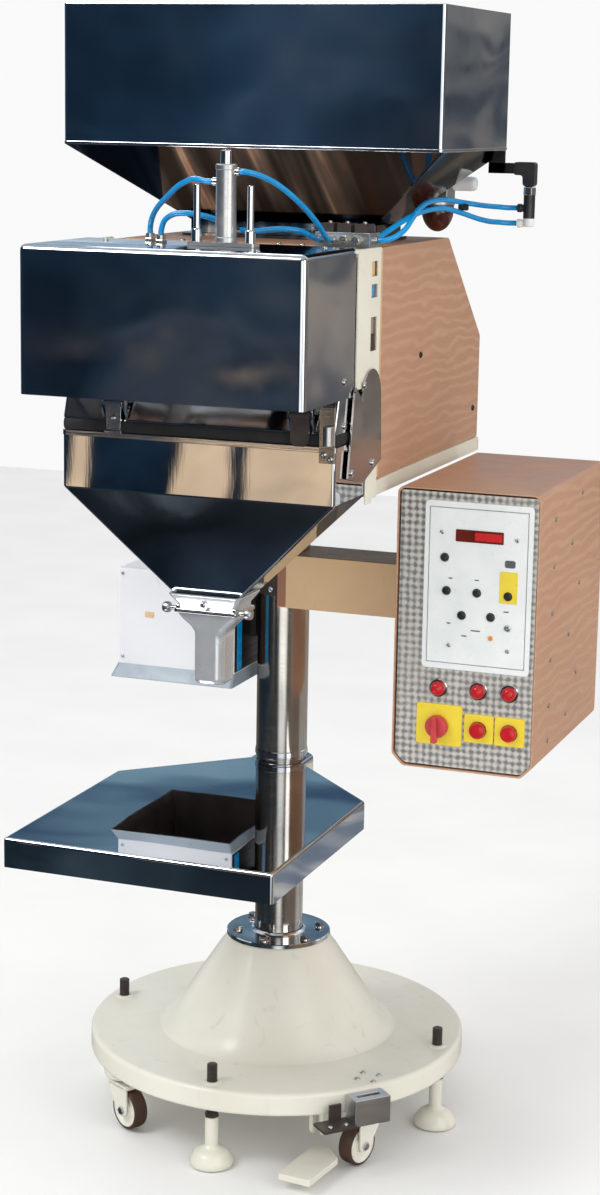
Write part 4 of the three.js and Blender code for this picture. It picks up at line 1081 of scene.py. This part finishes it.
# ---- compressed air -----------------------------------------------------------------
def air_parts():
    valves = Shape()
    valves.block((120, 202), (-214, -170), (1391.5, 1413))
    for k in range(3):
        x0 = 124 + 26 * k
        valves.block((x0, x0 + 20), (-204, -174), (1412, 1425), 1)
        valves.rod("z", 3.4, (1424.6, 1428), (x0 + 10, -189), 16, 2)
    for x, z in ((131, 1403), (147, 1403), (165, 1403), (183, 1403)):
        valves.rod("y", 5.8, (-223.7, -213), (x, z), 24, 2)
        valves.hexagon("y", 13, (-214, -218), (x, z), 2)
    valves.rod("y", 5.8, (-171, -165.3), (190, 1403), 24, 2)
    valves.rod("x", 5.8, (201, 206.7), (-192, 1403), 24, 2)
    for x in (-130, -90, 96, 60):
        valves.screw_head("z", 4.4, (1391.4, 1395), (x, -200), 18, 2)
    look("valve_manifold", valves, [ALUMINIUM, BROWN_BLACK, BRASS], "dark_steel", bevel=1.0)

    x, y = 186, 152
    bowl = Shape()
    profile = [(0.6, 1400), *[(25 * math.sin(math.radians(a)), 1434 - 34 * math.cos(math.radians(a)))
                              for a in range(10, 91, 10)], (25, 1442)]
    bowl.turn(profile, at=(x, y), count=48)
    bowl.turn([(24, 1440), (26.4, 1441), (26.4, 1447), (24, 1448)], at=(x, y), count=48, slot=1)
    bowl.block((x - 21, x + 21), (y - 21, y + 21), (1447, 1486), 1)
    bowl.block((x - 76, x - 20), (y + 3, y + 9), (1452, 1482), 2)
    bowl.block((x - 76, x - 62), (y + 3, y + 9), (1391.4, 1454), 2)
    look("air_filter", bowl, [SMOKED, ALUMINIUM, DARK_STEEL], "smoked_bowl",
          bevel=1.2, segments=3)
    knob = Shape()
    ridged = []
    for k in range(48):
        t = 2 * math.pi * k / 48
        ridged.append((y + (11 - 0.5 * (k % 2)) * math.cos(t), 1474 + (11 - 0.5 * (k % 2)) * math.sin(t)))
    knob.prism(ridged, "x", x + 26, x + 54)
    knob.turn([(10.6, x + 53.6), (10.4, x + 58), (8.6, x + 61), (4, x + 62), (0.4, x + 62)], "x",
              (y, 1474), 40)
    knob.turn([(7, x + 25.3), (7, x + 27)], "x", (y, 1474), 24)
    look("pressure_knob", knob, WHITE, "white_plastic", "pressure", sharp=50)

    x, y = 332, 150
    stack = Shape()
    stack.turn([(6, 1412), (8.4, 1413.4), (9, 1417), (9, 1424), (8.6, 1425)], at=(x, y), count=36, slot=1)
    stack.turn([(8.4, 1424), (8.8, 1425), (8.8, 1460), (8.2, 1461)], at=(x, y), count=36)
    stack.hexagon("z", 17, (1460, 1473), (x, y), 2)
    elbow = [(308, 1489.4), (322, 1489.4), (322.6, 1473), (341, 1473), (341, 1509), (308, 1509)]
    stack.prism(rounded_outline(elbow, 5, 6), "y", y - 9, y + 9)
    for z in (1440, 1417):
        stack.turn([(6.4, 314.3), (6.5, 315), (6.5, 320), (5.6, 321), (5.6, 326)], "x", (y, z), 24,
                   1 if z < 1430 else 0)
    stack.block((264, 309), (159.6, 162.4), (1491, 1507), 3)
    stack.block((264, 290), (155.6, 158.4), (1491, 1566), 3)
    stack.block((264, 290), (155.6, 162.4), (1491, 1507), 3)
    stack.block((308.4, 314), (158, 162.4), (1491.4, 1506.8), 3)
    stack.screw_head("y", 4, (162.2, 165), (277, 1499), 16, 2)
    look("air_inlet", stack, [BLACK, WHITE, CHROME, DARK_STEEL], "black_plastic",
          bevel=0.7)
    ties = Shape()
    ties.prism(rectangle(-8, 8, -5, 5, 3), "y", 43.2, 46.4)
    ties.points = [(px + 259.6, py, pz + 1443) for px, py, pz in ties.points]
    piece("tube_tie", ties, BLACK, "head", slot="black_plastic", bevel=0.6)


air_parts()


# ---- control box ------------------------------------------------------------------
def control_arm():
    saddle = [(40.6 * math.cos(math.radians(t)), 40.6 * math.sin(math.radians(t))) for t in range(-78, 79, 6)]
    outline = [(8.5, -50), (230.6, -50), (230.6, 45), (8.5, 45), *reversed(saddle)]
    shape = Shape().prism(outline, "z", 829, 911)
    cuts = Shape().block((68, 222), (-47, 42), (820, 908))
    look("control_arm", shape, PALE_TAN, "pale_tan_paint", cuts=cuts)
    extra = Shape()
    extra.block((222, 230.6), (-53, 48), (826, 914), 1)
    extra.turn([(40.6, 845), (48.8, 845), (50, 846.4), (50, 891.6), (48.8, 893), (40.6, 893)], count=64,
               slot=1, closed=True)
    extra.block((-14, 9), (-50, -36), (845, 893), 1)
    extra.block((-14, 9), (31, 45), (845, 893), 1)
    # darker strip on the arm's front at the column end: painted shade
    extra.block((8.2, 22), (-50.6, -49.6), (830, 910), 3)
    extra.screw_head("y", 5, (-49.6, -53.6), (-3, 856), 18, 2)
    extra.screw_head("y", 5, (-49.6, -53.6), (-3, 882), 18, 2)
    # thin dark sheet on the arm's top face: painted shade
    extra.block((24, 221.6), (-48, 43), (910.4, 911.8), 4)
    piece("arm_clamp", extra, [PALE_TAN, BROWN_BLACK, CHROME, ARM_END_SHADE, ARM_TOP_SHADE], "head", slot="dark_steel",
          bevel=0.5)


def control_box():
    left, right, front, back, bottom, top = 231, 446.8, -146, 236, 628, 1048
    chamfer = 17

    def outline(d):
        """The box's cross-section d inside its outer skin: chamfered below, small corners above."""
        low, high, l, r = bottom + d, top - d, left + d, right - d
        return rounded_outline([(l + chamfer, low), (r - chamfer, low), (r, low + chamfer), (r, high - 6),
                                (r - 6, high), (l + 6, high), (l, high - 6), (l, low + chamfer)], 4, 3)

    shape = Shape()
    shape.rings([[(x, y, z) for x, z in outline(d)]
                 for d, y in ((2.5, back - 2.5), (2.5, front), (0, front), (0, back))])
    look("control_box", shape, TAN, "tan_paint", bevel=1.0)
    screws = Shape()
    for k, z in enumerate((1002, 932, 862, 792, 722, 668)):
        screws.screw_head("x", 4.2, (right - 0.4, right + 1.6), (-62, z), 16)
        screws.screw_head("x", 4.2, (right - 0.4, right + 1.6), (42 if k % 2 else 96, z + 18), 16)
    for z in (1002, 862, 722):
        screws.screw_head("x", 4.2, (left + 0.4, left - 2.6), (-62, z), 16)
        screws.screw_head("x", 4.2, (left + 0.4, left - 2.6), (160, z), 16)
    piece("box_screws", screws, ALUMINIUM, "head", slot="aluminium")
    rear = Shape()
    gland = [(13, -1), (13, 3), (10.5, 4), (10.5, 14), (8.6, 16), (4, 16), (3.6, 4)]
    for z in (690, 760):
        rear.turn([(radius, back + y) for radius, y in gland], "y", (300, z), 28)
    piece("box_glands", rear, BLACK, "head", slot="black_plastic")


ISOLATOR = (302, 695)
KEYS = [(305, 948), (309, 899), (355, 899), (402, 898), (333, 864), (377, 865)]
BUTTONS = [(364, 695), (411, 695)]


def holes_at(places, radius, count):
    """A row of cutters through the panel for its keys or buttons."""
    holes = Shape()
    for x, z in places:
        holes.rod("y", radius, (-150, -138), (x, z), count)
    return holes


def control_panel():
    plate = Shape()
    c = 14
    outline = [(236 + c, 633), (443.5 - c, 633), (443.5, 633 + c), (443.5, 1043), (236, 1043), (236, 633 + c)]
    plate.prism(rounded_outline(outline, 4, 3), "y", -144, -140)
    pad = Shape().prism(rectangle(274, 437, 782, 1031, 7), "y", -146.4, -143.6)
    holes = holes_at(KEYS, 6.6, 20)
    for places, radius in ((BUTTONS, 8.9), ([ISOLATOR], 6.9)):
        more = holes_at(places, radius, 24)
        holes.add(more.points, more.faces)
    look("control_panel", plate, PANEL, "panel_grey", cuts=holes, bevel=0.7)
    piece("keypad", pad, WHITE, "head", slot="white_plastic", cuts=holes_at(KEYS, 6.6, 20), bevel=0.6)
    frame_line = Shape()
    for x0, x1, z0, z1 in ((281, 430, 1021, 1022), (281, 430, 791, 792), (281, 282, 791, 1022),
                           (429, 430, 791, 1022)):
        frame_line.block((x0, x1), (-146.75, -146.2), (z0, z1))
    piece("keypad_frame_line", frame_line, ALUMINIUM, "head", slot="white_plastic", bevel=0.15)

    window = Shape()
    window.prism(rectangle(321, 393, 973, 991, 1.5), "y", -147.2, -146)
    window.prism(rectangle(350, 391, 976, 988, 1), "y", -147.7, -147, 1)
    piece("display_window", window, [DISPLAY_DARK, SEGMENTS], "head", slot="red_plastic", bevel=0.3)
    yellow = Shape()
    yellow.prism(rectangle(389, 416, 887, 934, 2), "y", -146.9, -146)
    cut = Shape().rod("y", 6.6, (-150, -140), (402, 898), 20)
    piece("key_4_plate", yellow, YELLOW, "head", slot="white_plastic", cuts=cut, bevel=0.25)
    dots = Shape()
    dots.screw_head("y", 5.0, (-146.2, -149), (403, 851), 20, 0)
    dots.rod("y", 3.4, (-146.2, -148.6), (378, 834), 18, 1)
    for x, z in ((315, 818), (404, 817), (300, 985), (413, 981)):
        dots.screw_head("y", 3.2, (-146.2, -148.2), (x, z), 18, 0)
    dots.prism(rectangle(396, 412, 940, 951, 4), "y", -147.0, -146, 2)
    for x, z, w in ((315, 918, 3), (355, 918, 3), (314, 851, 3), (338, 834, 4), (355, 843, 7), (400, 875, 4)):
        dots.prism(rectangle(x - w, x + w, z - 1, z + 1, 0.8),
                   "y", -146.7, -146, 2)
    piece("keypad_marks", dots, [ALUMINIUM, ORANGE, ALUMINIUM], "head", slot="aluminium", bevel=0.2)

    lamps = Shape()
    rims = Shape()
    lens = [(10.6, -146), (10.6, -151), (9.6, -154.2), (7.4, -156.6), (4.2, -158), (0.5, -158.4)]
    for x, z in ((301, 752), (362, 753), (409, 754)):
        lamps.turn(lens, "y", (x, z), 36)
        rims.turn([(14, -143.6), (14, -146.2), (13, -147.2), (11, -147.2), (11, -144)], "y", (x, z), 36)
    piece("pilot_lamps", lamps, RED, "head", slot="red_plastic")
    piece("lamp_rims", rims, CHROME, "head", slot="chrome")
    plates = Shape()
    plates.prism(rectangle(269, 339, 666, 728, 5), "y", -147.4, -143.8)
    plates.prism(rectangle(342.6, 387.4, 675, 718, 4), "y", -147.4, -143.8)
    plates.prism(rectangle(389, 434, 675, 718, 4), "y", -147.4, -143.8)
    through = Shape()
    for x, z in BUTTONS:
        through.rod("y", 12.6, (-150, -140), (x, z), 32)
    through.rod("y", 6.9, (-150, -140), ISOLATOR, 24)
    piece("yellow_plates", plates, YELLOW, "head", slot="white_plastic", cuts=through, bevel=0.8)
    dome = [(6, -136), (6, -147.6), (5.4, -148.8), (4.2, -149.4), (0.4, -149.5)]
    for i, place in enumerate(KEYS):
        cap = Shape().turn(dome, "y", place, 32)
        piece(f"key_{i + 1}_look", cap, BLACK, f"key_{i + 1}", f"key_{i + 1}", "black_plastic")
    mushroom = [(8.4, -134), (8.4, -148.6), (12, -148.8), (12, -154), (10.6, -156.6), (7.4, -158),
                (0.4, -158)]
    for i, place in enumerate(BUTTONS):
        cap = Shape().turn(mushroom, "y", place, 40)
        piece(f"push_button_{i + 1}_look", cap, RED, f"button_{i + 1}", f"push_button_{i + 1}", "red_plastic")
    knob = Shape()
    collar = [(6.4, -134), (6.4, -148.4), (17, -148.6), (17, -156), (15.4, -159), (13, -160), (0.4, -160)]
    knob.turn(collar, "y", ISOLATOR, 48)
    grip = [(297.4, 672.6), (306.6, 672.6), (305, 711), (299, 711)]
    knob.prism(rounded_outline(grip, 2.5), "y", -168, -159)
    look("isolator_knob", knob, PINK_RED, "red_plastic", "isolator", bevel=0.7)


def junction_box():
    left, right, front, back, bottom, top = -249, -51, -78, 150, 722, 875
    shape = Shape()
    rows = [(bottom - 20, 6, 2, 14, 2), (bottom - 18.6, 6, 2, 14, 2), (bottom, 0, 0, 0, 0),
            (top - 4, 0, 0, 0, 0)]
    outer = [rounded(left - a, right + b, front - c, back + d, z, 4) for z, a, b, c, d in rows]
    area = (left, right, front, back)
    outer += [rounded(*shrink(area, 1), top - 1, 4), rounded(*shrink(area, 4), top, 3)]
    inner = [rounded(left - a + 3, right + b - 3, front - c + 3, back + d - 3, z, 3)
             for z, a, b, c, d in reversed(rows)]
    # the flared lip takes slot 2, the blue-grey: painted shade on the downward-facing lip
    shape.rings(outer[:3], 2, False, False)
    shape.rings(outer[2:], start_cap=False)
    # the inner faces and bottom rim take slot 1, brown-black: painted shade inside the open-bottomed box
    shape.rings(inner[::-1], 1, start_cap=False)
    shape.rings([outer[0], inner[-1]], 1, False, False)
    look("junction_box", shape, [WHITE_BOX, BROWN_BLACK, LIP_SHADE], "white_plastic", sharp=40)
    side = Shape()
    # The dark steel sheet over the box's right face is painted shade; the short block out to the column is
    # the box's bracket
    side.block((right - 0.4, right + 1.6), (front + 2, back - 2), (bottom + 2, top - 3), 0)
    side.block((right + 1.2, right + 2.4), (front + 8, front + 26), (bottom + 4, top - 14), 1)
    side.block((right, -41.4), (-14, 14), (770, 830), 0)
    piece("junction_side", side, [DARK_STEEL, BLUE], "head", slot="dark_steel", bevel=0.5)
    label = Shape()
    label.prism(rectangle(-202, -187, 799, 808, 1), "y", -78.9, -77.8)
    for x, z in ((-240, 866), (-60, 866), (-240, 733), (-60, 733)):
        label.screw_head("y", 2.6, (-78, -80), (x, z), 14, 1)
    piece("junction_marks", label, [PALE_TAN, ALUMINIUM], "head", slot="pale_tan_paint", bevel=0.2)


control_arm()
control_box()
control_panel()
junction_box()


# ---- floor, reflections and light -------------------------------------------------
def floor():
    mesh = bpy.data.meshes.new("floor")
    half, height = 6.0, -0.0005
    corners = ((-half, -half), (half, -half), (half, half), (-half, half))
    mesh.from_pydata([(x, y, height) for x, y in corners], [], [[0, 1, 2, 3]])
    obj = bpy.data.objects.new("floor", mesh)
    SCENE.collection.objects.link(obj)
    n = Nodes("pale_floor")
    tone = n.ramp(n.noise(3.0, 3.0), [(0.3, (0.86, 0.86, 0.855)), (0.7, (0.90, 0.90, 0.895))])
    mesh.materials.append(n.done(tone, n.spread(n.noise(40, 3.0), 0.6, 0.75)))
    obj.visible_glossy = False


class Room(Tree):
    """The studio that mirrors show: colours chosen by direction, with dark drapes and pale ceiling."""

    def __init__(self):
        SCENE.world = bpy.data.worlds.new("studio")
        SCENE.world.use_nodes = True
        SCENE.world.node_tree.nodes.clear()
        super().__init__(SCENE.world.node_tree, "Generated")
        split = self.new("ShaderNodeSeparateXYZ")
        self.feed(self.place, split.inputs[0])
        self.x, self.y, self.z = split.outputs

    def math(self, operation, a, b):
        node = self.new("ShaderNodeMath", operation=operation)
        self.feed(a, node.inputs[0])
        self.feed(b, node.inputs[1])
        return node.outputs[0]

    def times(self, a, b):
        return self.math("MULTIPLY", a, b)

    def step(self, value, start, end, low=0.0, high=1.0):
        return self.spread(value, low, high, start, end, interpolation_type="SMOOTHSTEP")

    def between(self, value, low, high, soft):
        rise = self.step(value, low - soft, low + soft)
        fall = self.step(value, high - soft, high + soft, 1.0, 0.0)
        return self.times(rise, fall)

    def heights(self, height, stops):
        """A colour for each height z of the looked-at direction, from -1 straight down to 1 straight up."""
        fraction = self.times(self.math("ADD", height, 1.0), 0.5)
        return self.ramp(fraction, [((z + 1) / 2, color) for z, color in stops])


DRAPES = [(-1.0, (0.008, 0.010, 0.012)), (-0.665, (0.12, 0.19, 0.28)), (-0.642, (0.05, 0.075, 0.11)),
          (-0.618, (0.014, 0.019, 0.023)), (-0.33, (0.040, 0.060, 0.076)), (-0.22, (0.018, 0.034, 0.058)),
          (-0.15, (0.012, 0.030, 0.056)), (-0.09, (0.020, 0.038, 0.060)), (-0.02, (0.022, 0.060, 0.110)),
          (0.07, (0.030, 0.070, 0.120)), (0.20, (0.02, 0.024, 0.03)), (0.52, (0.03, 0.035, 0.045)),
          (0.60, (1.0, 1.0, 1.0))]
BACK_WALL = [(-1.0, (0.03, 0.024, 0.02)), (-0.45, (0.10, 0.085, 0.075)), (-0.31, (0.62, 0.60, 0.57)),
             (-0.20, (0.34, 0.29, 0.25)), (-0.09, (0.30, 0.26, 0.225)), (0.0, (0.19, 0.185, 0.175)),
             (0.08, (0.22, 0.22, 0.21)), (0.3, (0.5, 0.52, 0.55)), (0.55, (1.0, 1.0, 1.0))]
BACK_SKY = [(-1.0, (0.03, 0.024, 0.02)), (-0.2, (0.14, 0.12, 0.10)), (0.02, (0.42, 0.50, 0.56)),
            (0.07, (0.56, 0.70, 0.80)), (0.16, (0.36, 0.48, 0.58)), (0.26, (0.12, 0.21, 0.29)),
            (0.36, (0.12, 0.20, 0.27)), (0.50, (0.40, 0.48, 0.55)), (0.75, (1.0, 1.0, 1.0))]
TAN_GLOW = (1.02, 0.74, 0.48)
LAMP_BOX = (1.5, 1.5, 1.48)


def drapes_in_front(room, x, z, shade):
    """Dark drapes with mottled folds, brown to the right, tan reflector panels and one bright lamp box."""
    mottle = room.noise(15.0, 6.0, distortion=0.4)
    front = room.heights(z, DRAPES)
    front = room.mix(room.step(mottle, 0.40, 0.62), shade(front, (0.38, 0.40, 0.42)), front)
    front = room.mix(room.step(mottle, 0.58, 0.78, 0.0, 0.75), front, (0.13, 0.15, 0.17))
    greyer = room.times(room.step(x, -0.40, -0.27, 0.0, 0.55), room.step(room.noise(11.0, 5.0), 0.40, 0.66))
    front = room.mix(greyer, front, (0.085, 0.085, 0.088))

    bend = room.times(room.math("SUBTRACT", room.noise(14.0, 1.0), 0.5), 0.016)
    across = room.math("SUBTRACT", room.x, bend)
    low = room.between(room.z, -0.20, -0.131, 0.003)
    panels = [room.between(across, start, end, 0.0022)
              for start, end in ((-0.394, -0.3735), (-0.3675, -0.330))]
    stripe = room.between(across, -0.440, -0.4325, 0.002)
    low = room.times(low, room.math("ADD", room.math("ADD", *panels), stripe))
    high = room.times(room.between(room.z, 0.33, 0.455, 0.012), room.between(across, -0.372, -0.30, 0.005))
    uneven = room.step(room.noise(26.0, 3.0), 0.30, 0.70, 0.70, 1.0)
    front = room.mix(room.times(room.math("MAXIMUM", low, high), uneven), front, TAN_GLOW)

    brown = room.mix(room.noise(8.0, 3.0, (1, 1, 0.1)), (0.10, 0.08, 0.07), (0.26, 0.22, 0.19))
    front = room.mix(room.step(room.x, 0.55, 0.85), front, brown)
    toward = room.math("ADD", room.times(room.x, 0.36), room.times(room.y, -0.93))
    lamp_box = room.times(room.step(toward, 0.90, 0.965), room.between(room.z, -0.75, 0.6, 0.06))
    return room.mix(lamp_box, front, LAMP_BOX)


def wall_behind(room, z, shade):
    """A pale sky over a tan wall, with long level waves of darker blue and paler grey."""
    waves = room.noise(11.0, 4.0, (0.45, 0.45, 4.5), 0.5)
    back = room.mix(room.step(room.x, -0.12, 0.12), room.heights(z, BACK_SKY), room.heights(z, BACK_WALL))
    back = room.mix(room.step(waves, 0.42, 0.52, 0.85, 0.0), back, shade(back, (0.24, 0.32, 0.46)))
    pale = room.times(room.step(waves, 0.52, 0.62, 0.0, 0.45), room.step(room.x, -0.12, 0.12, 1.0, 0.3))
    return room.mix(pale, back, shade(back, (2.6, 2.3, 2.0)))


def world():
    """Mirrors see the coloured room; everything else is lit by plain white."""
    room = Room()

    def shade(color, by):
        return room.mix(1.0, color, by, "MULTIPLY")

    drift = room.times(room.math("SUBTRACT", room.noise(9.0, 2.0), 0.5), 0.05)
    z = room.math("ADD", room.z, drift)
    x = room.math("SUBTRACT", room.x, drift)
    front, back = drapes_in_front(room, x, z, shade), wall_behind(room, z, shade)
    whole = room.mix(room.step(room.y, 0.15, 0.5), front, back)

    mirrored = room.new("ShaderNodeBackground")
    room.feed(whole, mirrored.inputs["Color"])
    plain = room.new("ShaderNodeBackground")
    plain.inputs["Color"].default_value = (1, 1, 1, 1)
    plain.inputs["Strength"].default_value = 0.95
    choose = room.new("ShaderNodeMixShader")
    room.feed(room.new("ShaderNodeLightPath").outputs["Is Glossy Ray"], choose.inputs[0])
    room.feed(plain.outputs[0], choose.inputs[1])
    room.feed(mirrored.outputs[0], choose.inputs[2])
    room.feed(choose.outputs[0], room.new("ShaderNodeOutputWorld").inputs["Surface"])


def lamp(name, place, target, size, power, color=(1, 1, 1)):
    data = bpy.data.lights.new(name, "AREA")
    data.shape = "RECTANGLE"
    data.size, data.size_y = size
    data.energy = power
    data.color = color
    obj = bpy.data.objects.new(name, data)
    obj.location = place
    obj.rotation_euler = (Vector(target) - Vector(place)).to_track_quat("-Z", "Y").to_euler()
    SCENE.collection.objects.link(obj)


floor()
world()
lamp("key", (-2.0, -2.7, 4.0), (0, 0, 0.8), (1.6, 1.6), 82)
lamp("fill", (2.6, -1.6, 1.6), (0, 0, 0.8), (1.5, 2.0), 22, (1.0, 0.96, 0.9))
SCENE.view_settings.view_transform = "Standard"
